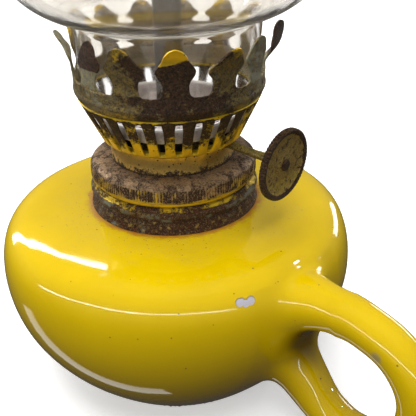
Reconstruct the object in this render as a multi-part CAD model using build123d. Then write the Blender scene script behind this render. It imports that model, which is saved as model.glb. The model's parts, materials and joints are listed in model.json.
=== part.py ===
from build123d import *
import math
import os

# Hand oil lamp: a glazed ceramic font with a finger handle, a screw-in brass burner with a
# slotted basket, a pronged gallery and a wick raiser, and a glass chimney.
# Millimetres, +Z up. The origin is the centre of the flat foot, and the handle points along +X.

# ---- clearances -----------------------------------------------------------------------
run_gap = 0.05          # radial, a shaft turning in its bearing
screw_gap = 0.08        # radial, the burner's screw skirt in the collar
pass_gap = 0.3          # a piece that passes through a hole without touching it
wick_gap = 0.2          # the wick in its tube, all round
bite_gap = 0.2          # the sprocket teeth from the face of the wick

# ---- font: the fuel bowl --------------------------------------------------------------
font_radius = 62.5      # at the widest
font_height = 64.0      # from the foot to the seat of the collar
belly_height = 43.0     # height of the widest point
foot_radius = 39.0
font_wall = 5.0
base_thickness = 6.5
foot_flare = 14.0       # how far the side leans out from the foot, and how fast it rises
foot_rise = 13.0
lower_fullness = 16.0   # how long the side stays upright below and above the belly
upper_fullness = 12.0
shoulder_radius = 50.0  # where the round shoulder meets the flat crown
shoulder_pull = 8.5     # how square the shoulder is
crown_drop = 1.6        # how far the crown falls from the collar seat to the shoulder
seat_radius = 31.0      # flat ring under the collar
mouth_radius = 20.5
neck_wall = 3.5
neck_height = 3.0

# ---- finger handle --------------------------------------------------------------------
handle_radius = 7.0     # of the round section
handle_root_radius = 10.0
handle_root_share = 0.14  # of the loop's length, over which each root thins to the round section
handle_reach = 41.5     # from the bowl's widest point to the middle of the outermost section
handle_top = 51.0       # height of the middle of the upper arm
handle_low = 8.2        # height of the middle of the lowest section
upper_root_height = 46.0
lower_root_height = 32.0
root_dip = 0.4          # how far the upper arm still has to rise where it leaves the bowl
root_depth = 1.5        # how deep the lower root starts inside the bowl, in root radii
lower_root_lean = 4.0   # how far outside the belly the lower arm turns up, and how far it has risen
lower_root_rise = 5.3

# ---- collar, cemented on the font's neck ----------------------------------------------
collar_sheet = 0.8
collar_radius = 28.4
collar_height = 9.0
collar_foot_lip = 0.8
collar_bead_radius = 0.6
collar_bead_drop = 1.4  # from the collar's top to the middle of its bead
screw_radius = 22.8     # outside of the burner's screw skirt
screw_bush_wall = 1.0
screw_bush_length = 5.4
cement_height = 3.4

# ---- burner: washer, screw ring, base plate and drum ----------------------------------
washer_thickness = 1.6
washer_radius = 27.0
ring_sheet = 0.8
ring_radius = 28.6
ring_side = 4.8         # height of the ring's knurled side
ring_dome = 1.7         # height of the domed top above the side
ring_shoulder = 2.2     # radius of the rounded shoulder
skirt_length = 6.0
lip_width = 1.2         # inward lip that carries the base plate
drum_radius = 21.2
drum_sheet = 0.6
drum_top = 24.4         # heights in the burner are from the seat of the collar
plate_sheet = 0.8

# ---- slotted basket and pronged gallery ------------------------------------------------
sheet = 0.6
bead_reach = 23.6       # outermost radius of the rolled bead at the basket's foot
bead_radius = 0.75
basket_foot_radius = 22.9
band_step = 1.3         # how far the basket's rim lies inside the band
basket_height = 15.0    # from the top of the drum to the underside of the chimney ledge
floor_ring = 1.6        # width of the ring that sits on the drum
ledge_width = 1.7       # of the inward ledge that the chimney stands on
slot_count = 30
slot_width = 2.3
slot_low = 1.1          # slot ends, from the drum top and from the chimney ledge
slot_high = 1.2
band_radius = 31.3
band_lap = 0.2          # how far the band reaches below the ledge
band_curl = 2.2         # height of the curled lower edge of the band
band_height = 7.3       # from the lower edge of the band to the bottom of the gaps
prong_count = 13
gallery_turn = -1.5     # degrees from the spindle to the nearest gap between prongs
prong_neck = 7.9
prong_head = 12.3
prong_length = 15.2     # from the bottom of the gaps to the tip
prong_neck_height = 4.0
prong_head_height = 8.5
prong_tip_width = 7.0
prong_tip_height = 12.4
prong_lean = 3.6        # how far the tips stand out from the band
gap_corner = 2.2
diffuser_height = 5.2   # of the pan's floor above the drum top
diffuser_depth = 5.0
diffuser_sheet = 0.5
hole_radius = 0.9
hole_rings = 3
hole_pitch = 4.6
first_ring = 3.2        # from the side of the wick tube to the first ring of holes

# ---- wick, its tube and vent -----------------------------------------------------------
tube_width = 11.6
tube_thickness = 3.8
tube_wall = 0.5
tube_low = -3.0
tube_high = 76.0
wick_show = 1.6
wick_tail = 43.0        # below the tube
vent_radius = 2.0
vent_wall = 0.5
vent_place = -9.0       # across the wick tube, from the lamp's axis
vent_low = -1.0
vent_high = 20.0

# ---- wick raiser ----------------------------------------------------------------------
burner_turn = 6.0       # degrees from the handle to the spindle, seen from above
spindle_radius = 1.35
spindle_droop = 2.8     # degrees, falling outwards
spindle_height = 24.7   # of the axis beside the wick, from the seat of the collar
spindle_inner = 9.4     # inner end, past the wick's middle
wheel_distance = 43.4   # from the wick's middle to the thumbwheel's middle
wheel_radius = 11.9
wheel_thickness = 2.2
wheel_rim = 1.5
wheel_web = 0.9
wheel_hub = 3.2
wheel_dish = 0.35
wheel_notches = 60
notch_radius = 0.34
rivet_radius = 1.9
rivet_height = 0.8
rivet_round = 0.55
sprocket_teeth = 8
sprocket_bite = 0.8     # depth of the teeth
sprocket_lead = 0.9     # of the teeth's tips over half of the tube's thickness
sprocket_thickness = 1.0
sprocket_spread = 2.6   # each side of the wick's middle
housing_sheet = 0.6
housing_half_length = 7.0
housing_room = 0.7      # round the sprockets
bush_wall = 0.75
bush_length = 4.0

# ---- glass chimney ---------------------------------------------------------------------
glass_wall = 1.6
chimney_play = 1.3      # between the chimney's straight base and the band
chimney_base = 21.6     # height of the straight base
foot_round = 0.6        # fire-polished edges
bend_radius = 3.2       # where the base turns into the bulb
flare_angle = 16.0      # degrees above level, where the bulb starts
bulb_radius = 52.0
bulb_height = 52.6      # from the chimney's foot to the widest point
bulb_low_pull = 13.0    # how flat the bulb's underside is, and how upright its side
bulb_side_pull = 16.0
stack_radius = 22.0
stack_start = 108.6     # from the chimney's foot to the start of the straight stack
stack_pull = 26.0
chimney_height = 159.6

# ---- places worked out from the sizes --------------------------------------------------
washer_z = collar_height
ring_z = washer_z + washer_thickness
plate_z = ring_z + ring_sheet
dome_z = ring_z + ring_side + ring_dome
seat_z = drum_top + basket_height
basket_rim_radius = band_radius - band_step
chimney_radius = band_radius - sheet - chimney_play
chimney_z = seat_z + sheet
crease_z = seat_z - band_lap
gap_z = crease_z + band_height
wick_half = tube_thickness / 2 - tube_wall - wick_gap
sprocket_radius = tube_thickness / 2 + sprocket_lead
spindle_offset = wick_half + bite_gap + sprocket_radius
skirt_inner = screw_radius - ring_sheet


# ---- helpers ---------------------------------------------------------------------------
def lathe(outline):
    """Turn a closed outline of (radius, height) about the lamp's axis."""
    return revolve(Plane.XZ * make_face(outline), Axis.Z)


def ring(inner, outer, low, high):
    """A plain ring, or a disc where inner is 0."""
    body = Pos(0, 0, low) * Cylinder(outer, high - low, align=(Align.CENTER, Align.CENTER, Align.MIN))
    if inner > 0:
        body -= Pos(0, 0, low) * Cylinder(inner, high - low, align=(Align.CENTER, Align.CENTER, Align.MIN))
    return body


def flat_tube(width, thickness, low, high):
    """An upright bar with the flat, round-ended section of the wick tube."""
    section = SlotOverall(width, thickness)
    return Pos(0, 0, low) * extrude(section, high - low)


def along_spindle(body):
    """Carry a piece that is built along +X, with the wick's middle at 0, to the spindle's place."""
    return Pos(0, spindle_offset, spindle_height) * Rot(0, spindle_droop, 0) * body


def rod(radius, start, end):
    """A round bar along +X."""
    bar = Cylinder(radius, end - start, align=(Align.CENTER, Align.CENTER, Align.MIN))
    return Pos(start, 0, 0) * Rot(0, 90, 0) * bar


def in_burner(body):
    """Set a burner piece on the font: lift it to the collar's seat and turn it to the spindle's side."""
    return Pos(0, 0, font_height) * Rot(0, 0, burner_turn) * body


# ---- font ------------------------------------------------------------------------------
def bowl(inset, low, top):
    """The solid of revolution inside the bowl's outline, moved inwards by inset."""
    belly = font_radius - inset
    foot = foot_radius - inset
    shoulder = (shoulder_radius - inset, top - crown_drop)
    seat = (seat_radius - inset, top)
    slope = crown_drop / (shoulder[0] - seat[0])
    side = Bezier((foot, low), (foot + foot_flare, low + foot_rise),
                  (belly, belly_height - lower_fullness), (belly, belly_height))
    turn = Bezier((belly, belly_height), (belly, belly_height + upper_fullness),
                  (shoulder[0] + shoulder_pull, shoulder[1] - shoulder_pull * slope), shoulder)
    rest = Polyline(shoulder, seat, (0, top), (0, low), (foot, low))
    return lathe(side + turn + rest)


def font_casting():
    """Hollow ceramic bowl with a flat foot, a mouth and a low neck for the collar."""
    shell = bowl(0, 0, font_height)
    hollow = bowl(font_wall, base_thickness, font_height - font_wall)
    neck = ring(0, mouth_radius + neck_wall, font_height - font_wall, font_height + neck_height)
    mouth = ring(0, mouth_radius, belly_height, font_height + neck_height)
    return shell - hollow + neck - mouth


def make_font_body():
    """Lower half of the casting, up to the mould's seam at the belly."""
    return font_casting() & ring(0, font_radius + font_wall, 0, belly_height)


def make_font_shoulder():
    """Upper half of the casting: the round shoulder, the crown and the neck."""
    return font_casting() & ring(0, font_radius + font_wall, belly_height, font_height + neck_height)


def make_finger_handle():
    """Round ceramic loop whose thickened roots meet the bowl's outer surface."""
    middle = (handle_top + handle_low) / 2
    reach = font_radius + handle_reach
    half = (handle_top - handle_low) / 2
    bow = half * math.sqrt(0.5)
    points = [
        (font_radius - handle_root_radius, upper_root_height),
        (font_radius + handle_root_radius, handle_top - root_dip),
        (reach - half, handle_top),
        (reach - half + bow, middle + bow),
        (reach, middle),
        (reach - half + bow, middle - bow),
        (reach - half, handle_low),
        (font_radius + lower_root_lean, handle_low + lower_root_rise),
        (font_radius - handle_root_radius * root_depth, lower_root_height),
    ]
    path = Plane.XZ * Spline(points)
    stops = [(0, handle_root_radius), (handle_root_share, handle_radius), (0.5, handle_radius),
             (1 - handle_root_share, handle_radius), (1, handle_root_radius)]
    sections = [Plane(origin=path @ at, z_dir=path % at) * Circle(radius) for at, radius in stops]
    loop = sweep(sections, path=path, multisection=True)
    return loop - bowl(0, 0, font_height)


def make_neck_cement():
    """Plaster ring that holds the collar on the neck."""
    neck = mouth_radius + neck_wall
    return Pos(0, 0, font_height) * ring(neck, collar_radius - collar_sheet, 0, cement_height)


def make_font_collar():
    """Spun collar: a skirt with a foot lip and a rolled bead, and the threaded bush in its top."""
    inner = collar_radius - collar_sheet
    bore = screw_radius + screw_gap
    skirt = ring(inner, collar_radius, 0, collar_height)
    foot = ring(inner, collar_radius + collar_foot_lip, 0, collar_sheet)
    top = ring(bore, collar_radius, collar_height - collar_sheet, collar_height)
    bush = ring(bore, bore + screw_bush_wall, collar_height - screw_bush_length, collar_height)
    bead = Pos(0, 0, collar_height - collar_bead_drop) * Torus(collar_radius, collar_bead_radius)
    bead -= ring(0, inner, 0, collar_height)
    return Pos(0, 0, font_height) * (skirt + foot + top + bush + bead)


# ---- burner body -----------------------------------------------------------------------
def make_burner_washer():
    """Soft brass washer between the collar and the burner."""
    return Pos(0, 0, font_height) * ring(screw_radius + pass_gap, washer_radius, washer_z, ring_z)


def make_burner_screw_ring():
    """Hollow ring with a straight side, a domed top and the screw skirt below."""
    top_z = ring_z + ring_side
    inner = ring_radius - ring_sheet
    skirt_z = ring_z - skirt_length
    lip = drum_radius - lip_width
    low = dome_z - ring_sheet
    outline = Polyline((lip, ring_z), (skirt_inner, ring_z), (skirt_inner, skirt_z),
                       (screw_radius, skirt_z), (screw_radius, ring_z), (ring_radius, ring_z),
                       (ring_radius, top_z - ring_shoulder + ring_dome))
    shoulder = Bezier((ring_radius, top_z - ring_shoulder + ring_dome), (ring_radius, top_z + ring_dome / 2),
                      (ring_radius - ring_shoulder, dome_z), (drum_radius, dome_z))
    back = Polyline((drum_radius, dome_z), (drum_radius, low), (inner - ring_shoulder, low),
                    (inner, low - ring_shoulder), (inner, plate_z), (lip, plate_z), (lip, ring_z))
    return in_burner(lathe(outline + shoulder + back))


def make_burner_base_plate():
    """Disc that closes the drum above the font and carries the wick tube and the vent."""
    plate = ring(0, drum_radius - drum_sheet, plate_z, plate_z + plate_sheet)
    plate -= flat_tube(tube_width, tube_thickness, plate_z, plate_z + plate_sheet)
    plate -= Pos(0, vent_place, 0) * ring(0, vent_radius, plate_z, plate_z + plate_sheet)
    return in_burner(plate)


def spindle_passage():
    """The room that the spindle and its bush need in the burner's wall."""
    wall = drum_radius - drum_sheet
    hole = rod(spindle_radius + pass_gap, wall - bush_length, wheel_distance)
    bush = rod(spindle_radius + run_gap + bush_wall, wall - bush_length - pass_gap, wall - pass_gap)
    return along_spindle(hole), along_spindle(bush)


def make_burner_drum():
    """Straight drum between the screw ring and the basket, with the spindle's hole."""
    drum = ring(drum_radius - drum_sheet, drum_radius, plate_z, drum_top)
    hole, bush = spindle_passage()
    return in_burner(drum - hole - bush)


def basket_outer(z):
    """Outer radius of the basket's flared wall at height z."""
    share = (z - drum_top) / basket_height
    return basket_foot_radius + (basket_rim_radius - basket_foot_radius) * share


def basket_inner(z):
    """Inner radius of the same wall."""
    slope = math.atan2(basket_rim_radius - basket_foot_radius, basket_height)
    return basket_outer(z) - sheet / math.cos(slope)


def make_air_basket():
    """Flared basket with a bead, a ring of air slots and the flat ring that the chimney stands on."""
    floor_in = drum_radius - floor_ring
    floor_z = drum_top + sheet
    ledge_in = basket_rim_radius - ledge_width
    outline = Polyline((floor_in, drum_top), (basket_foot_radius, drum_top),
                       (basket_rim_radius, seat_z), (basket_rim_radius, chimney_z),
                       (ledge_in, chimney_z), (ledge_in, seat_z),
                       (basket_inner(seat_z), seat_z), (basket_inner(floor_z), floor_z),
                       (floor_in, floor_z), (floor_in, drum_top))
    basket = lathe(outline)
    bead_z = drum_top + bead_radius
    bead = Pos(0, 0, bead_z) * Torus(bead_reach - bead_radius, bead_radius)
    basket += bead - ring(0, basket_foot_radius - sheet, drum_top, seat_z)
    low = drum_top + slot_low
    length = seat_z - slot_high - low
    slot = Pos(basket_outer(low), 0, low + length / 2) * Rot(0, 90, 0) * extrude(
        SlotOverall(length, slot_width), band_radius - basket_foot_radius, both=True)
    step = 360 / slot_count
    for turn in range(slot_count):
        basket -= Rot(0, 0, step * (turn + 0.5)) * slot
    hole, bush = spindle_passage()
    return in_burner(basket - hole - bush)


def gap_outline():
    """Half of the gap between two prongs, across from the gap's middle and up from its bottom."""
    pitch = band_radius * math.sin(math.pi / prong_count)
    neck = pitch - prong_neck / 2
    top = prong_length + prong_lean
    side = Spline([(neck, gap_corner), (neck, prong_neck_height),
                   (pitch - prong_head / 2, prong_head_height),
                   (pitch - prong_tip_width / 2, prong_tip_height), (pitch, prong_length)],
                  tangents=[(0, 1), (1, 0)])
    corner = RadiusArc((neck - gap_corner, 0), (neck, gap_corner), -gap_corner)
    over = pitch + prong_lean
    rest = Polyline((pitch, prong_length), (over, prong_length), (over, top), (0, top), (0, 0),
                    (neck - gap_corner, 0))
    return make_face(corner + side + rest)


def make_prong_gallery():
    """Curled band with a ring of spade-shaped prongs, all of one sheet."""
    inner = band_radius - sheet
    curl_z = crease_z + band_curl
    tip_z = gap_z + prong_length
    lip = basket_rim_radius + run_gap
    curl_out = Bezier((lip, crease_z), (band_radius, crease_z), (band_radius, curl_z))
    lean_out = Bezier((band_radius, gap_z + gap_corner), (band_radius, gap_z + prong_head_height),
                      (band_radius + prong_lean / 2, tip_z - prong_lean), (band_radius + prong_lean, tip_z))
    lean_in = Bezier((inner + prong_lean, tip_z), (inner + prong_lean / 2, tip_z - prong_lean),
                     (inner, gap_z + prong_head_height), (inner, gap_z + gap_corner))
    curl_in = Bezier((inner, curl_z), (inner, crease_z + sheet), (lip, crease_z + sheet))
    outline = (curl_out + Line((band_radius, curl_z), (band_radius, gap_z + gap_corner)) + lean_out
               + Line((band_radius + prong_lean, tip_z), (inner + prong_lean, tip_z)) + lean_in
               + Line((inner, gap_z + gap_corner), (inner, curl_z)) + curl_in
               + Line((lip, crease_z + sheet), (lip, crease_z)))
    gallery = lathe(outline)
    half = extrude(gap_outline(), band_radius * 2)
    gap = half + mirror(half, Plane.YZ)
    gap = Plane(origin=(0, 0, gap_z), x_dir=(0, 1, 0), z_dir=(1, 0, 0)) * gap
    for turn in range(prong_count):
        gallery -= Rot(0, 0, gallery_turn + 360 / prong_count * turn) * gap
    return in_burner(gallery)


def make_diffuser_pan():
    """Shallow open pan with a perforated floor, resting in the flared basket above the raiser."""
    low = drum_top + diffuser_height
    floor_z = low + diffuser_sheet
    radius = basket_inner(low)
    pan = ring(0, radius, low, floor_z) + ring(radius - diffuser_sheet, radius, low, low + diffuser_depth)
    pan -= flat_tube(tube_width + 2 * pass_gap, tube_thickness + 2 * pass_gap, low, floor_z)
    for index in range(hole_rings):
        place = tube_width / 2 + first_ring + hole_pitch * index
        count = int(2 * math.pi * place / hole_pitch)
        hole = Pos(place, 0, low) * Cylinder(hole_radius, diffuser_depth)
        for step in range(count):
            pan -= Rot(0, 0, 360 / count * step) * hole
    return in_burner(pan)


# ---- wick ------------------------------------------------------------------------------
def make_wick_tube():
    """Flat tube that guides the wick, with the window where the sprockets reach in."""
    tube = flat_tube(tube_width, tube_thickness, tube_low, tube_high)
    tube -= flat_tube(tube_width - 2 * tube_wall, tube_thickness - 2 * tube_wall, tube_low, tube_high)
    window_height = 2 * sprocket_radius + housing_room
    window = Box(2 * (sprocket_spread + sprocket_thickness), tube_thickness, window_height)
    tube -= Pos(0, tube_thickness / 2 + wick_half, spindle_height) * window
    return in_burner(tube)


def make_vent_tube():
    """Small tube that lets air into the font."""
    return in_burner(Pos(0, vent_place, 0) * ring(vent_radius - vent_wall, vent_radius, vent_low, vent_high))


def make_wick():
    """Flat cotton wick, from just above its tube down into the font."""
    width = tube_width - 2 * (tube_wall + wick_gap)
    return in_burner(flat_tube(width, 2 * wick_half, tube_low - wick_tail, tube_high + wick_show))


# ---- wick raiser -----------------------------------------------------------------------
def make_raiser_housing():
    """Sheet box on the wick tube that holds the sprockets and the spindle's inner bearings."""
    room = sprocket_radius + housing_room
    depth = spindle_offset + room - tube_thickness / 2
    middle = tube_thickness / 2 + depth / 2
    outer = Box(2 * housing_half_length, depth, 2 * (room + housing_sheet))
    inner = Pos(0, -housing_sheet, 0) * Box(2 * (housing_half_length - housing_sheet), depth, 2 * room)
    box = Pos(0, middle, spindle_height) * (outer - inner)
    bearing = along_spindle(rod(spindle_radius + run_gap, -2 * housing_half_length, 2 * housing_half_length))
    return in_burner(box - bearing)


def make_spindle_bush():
    """Short bearing inside the drum's wall."""
    wall = drum_radius - drum_sheet
    outer = rod(spindle_radius + run_gap + bush_wall, wall - bush_length, wall - pass_gap)
    inner = rod(spindle_radius + run_gap, 0, wheel_distance)
    return in_burner(along_spindle(outer - inner))


def make_raiser_spindle():
    """Round spindle from the inner bearing to the thumbwheel."""
    end = wheel_distance + wheel_web / 2
    return in_burner(along_spindle(rod(spindle_radius, -spindle_inner, end)))


def make_drive_sprocket(side):
    """One toothed wheel that bites the wick, side is -1 for the inner and 1 for the outer."""
    root = sprocket_radius - sprocket_bite
    half_tooth = 180 / sprocket_teeth
    points = []
    for tooth in range(sprocket_teeth):
        turn = math.radians(2 * half_tooth * tooth)
        valley = turn + math.radians(half_tooth)
        points.append((sprocket_radius * math.cos(turn), sprocket_radius * math.sin(turn)))
        points.append((root * math.cos(valley), root * math.sin(valley)))
    star = extrude(make_face(Polyline(*points, close=True)), sprocket_thickness / 2, both=True)
    star = Pos(side * sprocket_spread, 0, 0) * Rot(0, 90, 0) * star
    return in_burner(along_spindle(star - rod(spindle_radius, -spindle_inner, wheel_distance)))


def make_thumbwheel():
    """Stamped wheel with a notched rim and a dished face."""
    half = wheel_thickness / 2
    web = wheel_web / 2
    rim_in = wheel_radius - wheel_rim
    outline = Polyline((spindle_radius, -half), (wheel_hub, -half), (wheel_hub, -web), (rim_in, -web),
                       (rim_in, -half), (wheel_radius, -half), (wheel_radius, half),
                       (rim_in, half), (rim_in, web), (wheel_hub, web - wheel_dish),
                       (spindle_radius, web), (spindle_radius, -half))
    wheel = revolve(Plane.XZ * make_face(outline), Axis.Z)
    notch = Pos(wheel_radius, 0, 0) * Cylinder(notch_radius, wheel_thickness)
    for turn in range(wheel_notches):
        wheel -= Rot(0, 0, 360 / wheel_notches * turn) * notch
    return in_burner(along_spindle(Pos(wheel_distance, 0, 0) * Rot(0, 90, 0) * wheel))


def make_thumbwheel_rivet():
    """Peened head that holds the wheel on the spindle."""
    start = wheel_distance + wheel_web / 2
    head = rod(rivet_radius, start, start + rivet_height)
    rim = head.edges().filter_by(GeomType.CIRCLE).sort_by(Axis.X)[-1]
    return in_burner(along_spindle(fillet(rim, rivet_round)))


# ---- chimney ---------------------------------------------------------------------------
def chimney_line(inset):
    """Side of the chimney from its foot to its rim, moved inwards by inset."""
    base = chimney_radius - inset
    bend = bend_radius + inset
    angle = math.radians(90 - flare_angle)
    turn_end = (base + bend * (1 - math.cos(angle)), chimney_base + bend * math.sin(angle))
    bulb = bulb_radius - inset
    stack = stack_radius - inset
    rise = math.radians(flare_angle)
    pull = (turn_end[0] + bulb_low_pull * math.cos(rise), turn_end[1] + bulb_low_pull * math.sin(rise))
    half = angle / 2
    turn_mid = (base + bend * (1 - math.cos(half)), chimney_base + bend * math.sin(half))
    return (Line((base, foot_round), (base, chimney_base))
            + ThreePointArc((base, chimney_base), turn_mid, turn_end)
            + Bezier(turn_end, pull, (bulb, bulb_height - bulb_side_pull), (bulb, bulb_height))
            + Bezier((bulb, bulb_height), (bulb, bulb_height + stack_pull),
                     (stack, stack_start - stack_pull), (stack, stack_start))
            + Line((stack, stack_start), (stack, chimney_height - foot_round)))


def edge_round(radius, z, drop):
    """Rounded edge of the glass, from the outer wall to the inner wall."""
    inner = radius - glass_wall
    turn = abs(drop)
    outside = Bezier((radius, z + drop), (radius, z), (radius - turn, z))
    inside = Bezier((inner + turn, z), (inner, z), (inner, z + drop))
    return outside + Line((radius - turn, z), (inner + turn, z)) + inside


def make_chimney():
    """Blown glass chimney: straight base, round bulb and straight stack."""
    outer = chimney_line(0)
    inner = chimney_line(glass_wall)
    foot = edge_round(chimney_radius, 0, foot_round)
    rim = edge_round(stack_radius, chimney_height, -foot_round)
    return in_burner(Pos(0, 0, chimney_z) * lathe(outer + rim + inner + foot))


# ---- the lamp --------------------------------------------------------------------------
def make_lamp():
    """Every piece of the lamp by name."""
    return {
        "font_body": make_font_body(),
        "font_shoulder": make_font_shoulder(),
        "finger_handle": make_finger_handle(),
        "neck_cement": make_neck_cement(),
        "font_collar": make_font_collar(),
        "burner_washer": make_burner_washer(),
        "burner_screw_ring": make_burner_screw_ring(),
        "burner_base_plate": make_burner_base_plate(),
        "burner_drum": make_burner_drum(),
        "air_basket": make_air_basket(),
        "prong_gallery": make_prong_gallery(),
        "diffuser_pan": make_diffuser_pan(),
        "wick_tube": make_wick_tube(),
        "vent_tube": make_vent_tube(),
        "wick": make_wick(),
        "raiser_housing": make_raiser_housing(),
        "spindle_bush": make_spindle_bush(),
        "raiser_spindle": make_raiser_spindle(),
        "drive_sprocket_inner": make_drive_sprocket(-1),
        "drive_sprocket_outer": make_drive_sprocket(1),
        "thumbwheel": make_thumbwheel(),
        "thumbwheel_rivet": make_thumbwheel_rivet(),
        "chimney": make_chimney(),
    }


os.makedirs("parts", exist_ok=True)
for name, body in make_lamp().items():
    export_step(body, f"parts/{name}.step")
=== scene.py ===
"""Hand oil lamp: glazed font with a finger handle, pronged brass burner, wick raiser and glass chimney.

Sizes in the property groups are in millimetres; every finished mesh is in metres, in the frame's place.
"""
import json
import math

import bmesh
import bpy
from bpy.props import FloatProperty, FloatVectorProperty, IntProperty, PointerProperty
from mathutils import Matrix, Vector, noise


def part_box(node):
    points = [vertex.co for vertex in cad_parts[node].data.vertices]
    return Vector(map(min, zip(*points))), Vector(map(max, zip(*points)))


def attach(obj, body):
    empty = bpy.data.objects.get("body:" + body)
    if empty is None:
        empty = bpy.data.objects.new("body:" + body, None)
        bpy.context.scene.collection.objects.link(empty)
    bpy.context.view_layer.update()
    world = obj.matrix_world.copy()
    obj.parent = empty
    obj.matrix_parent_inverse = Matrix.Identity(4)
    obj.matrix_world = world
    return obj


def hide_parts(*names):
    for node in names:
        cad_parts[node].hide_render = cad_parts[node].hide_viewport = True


bl_info = {
    "name": "Hand Oil Lamp",
    "version": (1, 0, 0),
    "blender": (4, 5, 0),
    "location": "3D View > Sidebar > Lamp",
    "description": "Builds a hand oil lamp round its mechanical frame",
    "category": "Object",
}

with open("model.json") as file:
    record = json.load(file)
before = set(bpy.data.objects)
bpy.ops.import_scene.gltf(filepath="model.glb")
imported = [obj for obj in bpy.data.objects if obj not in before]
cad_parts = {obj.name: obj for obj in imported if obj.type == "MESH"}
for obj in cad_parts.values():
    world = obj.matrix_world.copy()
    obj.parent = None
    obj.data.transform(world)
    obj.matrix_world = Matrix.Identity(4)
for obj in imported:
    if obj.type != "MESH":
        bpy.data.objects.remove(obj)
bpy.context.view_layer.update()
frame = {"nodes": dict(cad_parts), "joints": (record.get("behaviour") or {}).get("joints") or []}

MM = 0.001


def extent(node):
    """Outer radius, lowest and highest height of a round CAD node, in millimetres."""
    low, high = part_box(node)
    return (high.x - low.x) / 2 / MM, low.z / MM, high.z / MM


FONT_R, FONT_LOW, _ = extent("font_body")
_, _, NECK_TOP = extent("font_shoulder")
COLLAR_R, SEAT_Z, COLLAR_TOP = extent("font_collar")
WASHER_R, WASHER_LOW, WASHER_TOP = extent("burner_washer")
RING_R, SKIRT_LOW, DOME_Z = extent("burner_screw_ring")
DRUM_R, DRUM_LOW, DRUM_TOP = extent("burner_drum")
BASKET_R, _, LEDGE_Z = extent("air_basket")
_, GALLERY_LOW, PRONG_TOP = extent("prong_gallery")
PAN_R, PAN_LOW, PAN_TOP = extent("diffuser_pan")
BULB_R, CHIMNEY_LOW, CHIMNEY_TOP = extent("chimney")
WICK_LOW, WICK_HIGH = (corner.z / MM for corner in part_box("wick"))
RAISER = next(joint for joint in frame["joints"] if joint["child"] == "raiser")
SPINDLE_POINT = Vector(RAISER["pos_m"]) / MM
SPINDLE_OUT = -Vector(RAISER["axis"]).normalized()
SPINDLE_TILT = Vector((0, 0, 1)).rotation_difference(SPINDLE_OUT).to_matrix()
BURNER_TURN = math.atan2(SPINDLE_OUT.y, SPINDLE_OUT.x)
GALLERY_TURN = math.radians(-1.5)

# sizes that the frame's boxes don't give, in millimetres
FLOOR_INSIDE = 6.5
BASKET_FOOT = 22.9
GALLERY_BAND = 31.3
PRONG_RISE = 7.3
CHIMNEY_FOOT = 29.4
CHIMNEY_STACK = 22.0


# ---- sizes and colours a user would change ---------------------------------------------
class LampGlazeSettings(bpy.types.PropertyGroup):
    belly_height: FloatProperty(name="Belly Height", description="Height of the widest point, mm",
                                default=43.0)
    foot_radius: FloatProperty(name="Foot Radius", description="Radius of the flat foot, mm", default=39.0)
    shoulder_radius: FloatProperty(name="Shoulder Radius", description="Where the crown turns down, mm",
                                   default=50.0)
    crown_drop: FloatProperty(name="Crown Drop", description="Fall from the collar to the shoulder, mm",
                              default=1.6)
    wall: FloatProperty(name="Wall", description="Thickness of the ceramic, mm", default=5.0)
    web_smoothing: IntProperty(name="Web Smoothing", description="Passes that blend the roots", default=60)
    colour: FloatVectorProperty(name="Glaze", description="Glaze colour", subtype="COLOR",
                                default=(0.70, 0.475, 0.0))
    # darker glaze: used for a random mottle, and as painted shade towards the foot
    mottle_and_shade_colour: FloatVectorProperty(name="Glaze Mottle and Shade", description="Darker glaze for the mottle and the painted shade towards the foot",
                                     subtype="COLOR", default=(0.27, 0.160, 0.003))
    # painted shade: a dark colour laid in the fork between the handle's arms stands in for the shade of that
    # recess
    fork_shade_colour: FloatVectorProperty(name="Fork Shade",
                                       description="Painted shade in the fork of the handle",
                                       subtype="COLOR", default=(0.075, 0.036, 0.002))
    chip_colour: FloatVectorProperty(name="Chip", description="Bare body in a chip", subtype="COLOR",
                                     default=(0.50, 0.48, 0.54))


class LampMetalSettings(bpy.types.PropertyGroup):
    olive: FloatVectorProperty(name="Old Brass", description="Dull olive brass", subtype="COLOR",
                               default=(0.235, 0.185, 0.065))
    bright: FloatVectorProperty(name="Bright Brass", description="Yellow lacquered brass", subtype="COLOR",
                                default=(0.80, 0.55, 0.03))
    rust: FloatVectorProperty(name="Rust", description="Dark rust", subtype="COLOR",
                              default=(0.013, 0.0075, 0.004))
    red_rust: FloatVectorProperty(name="Red Rust", description="Red-brown rust", subtype="COLOR",
                                  default=(0.070, 0.030, 0.013))
    verdigris: FloatVectorProperty(name="Verdigris", description="Grey-green bloom", subtype="COLOR",
                                   default=(0.20, 0.215, 0.165))


class LampGallerySettings(bpy.types.PropertyGroup):
    prongs: IntProperty(name="Prongs", description="Number of prongs", default=13, min=3)
    slots: IntProperty(name="Slots", description="Number of air slots", default=30, min=3)
    neck: FloatProperty(name="Neck", description="Width of a prong's neck, mm", default=7.9)
    head: FloatProperty(name="Head", description="Width of a prong's head, mm", default=12.3)
    sheet: FloatProperty(name="Sheet", description="Thickness of the sheet brass, mm", default=0.6)


class LampGlassSettings(bpy.types.PropertyGroup):
    wall: FloatProperty(name="Wall", description="Thickness of the glass, mm", default=1.6)
    tint: FloatVectorProperty(name="Tint", description="Colour of the glass", subtype="COLOR",
                              default=(0.89, 0.865, 0.82))
    dust: FloatVectorProperty(name="Dust", description="Colour of the film of dust", subtype="COLOR",
                              default=(0.62, 0.56, 0.47))
    low_dust: FloatVectorProperty(name="Low Dust", description="Colour of the film inside the prongs",
                                  subtype="COLOR", default=(0.36, 0.27, 0.19))


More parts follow.
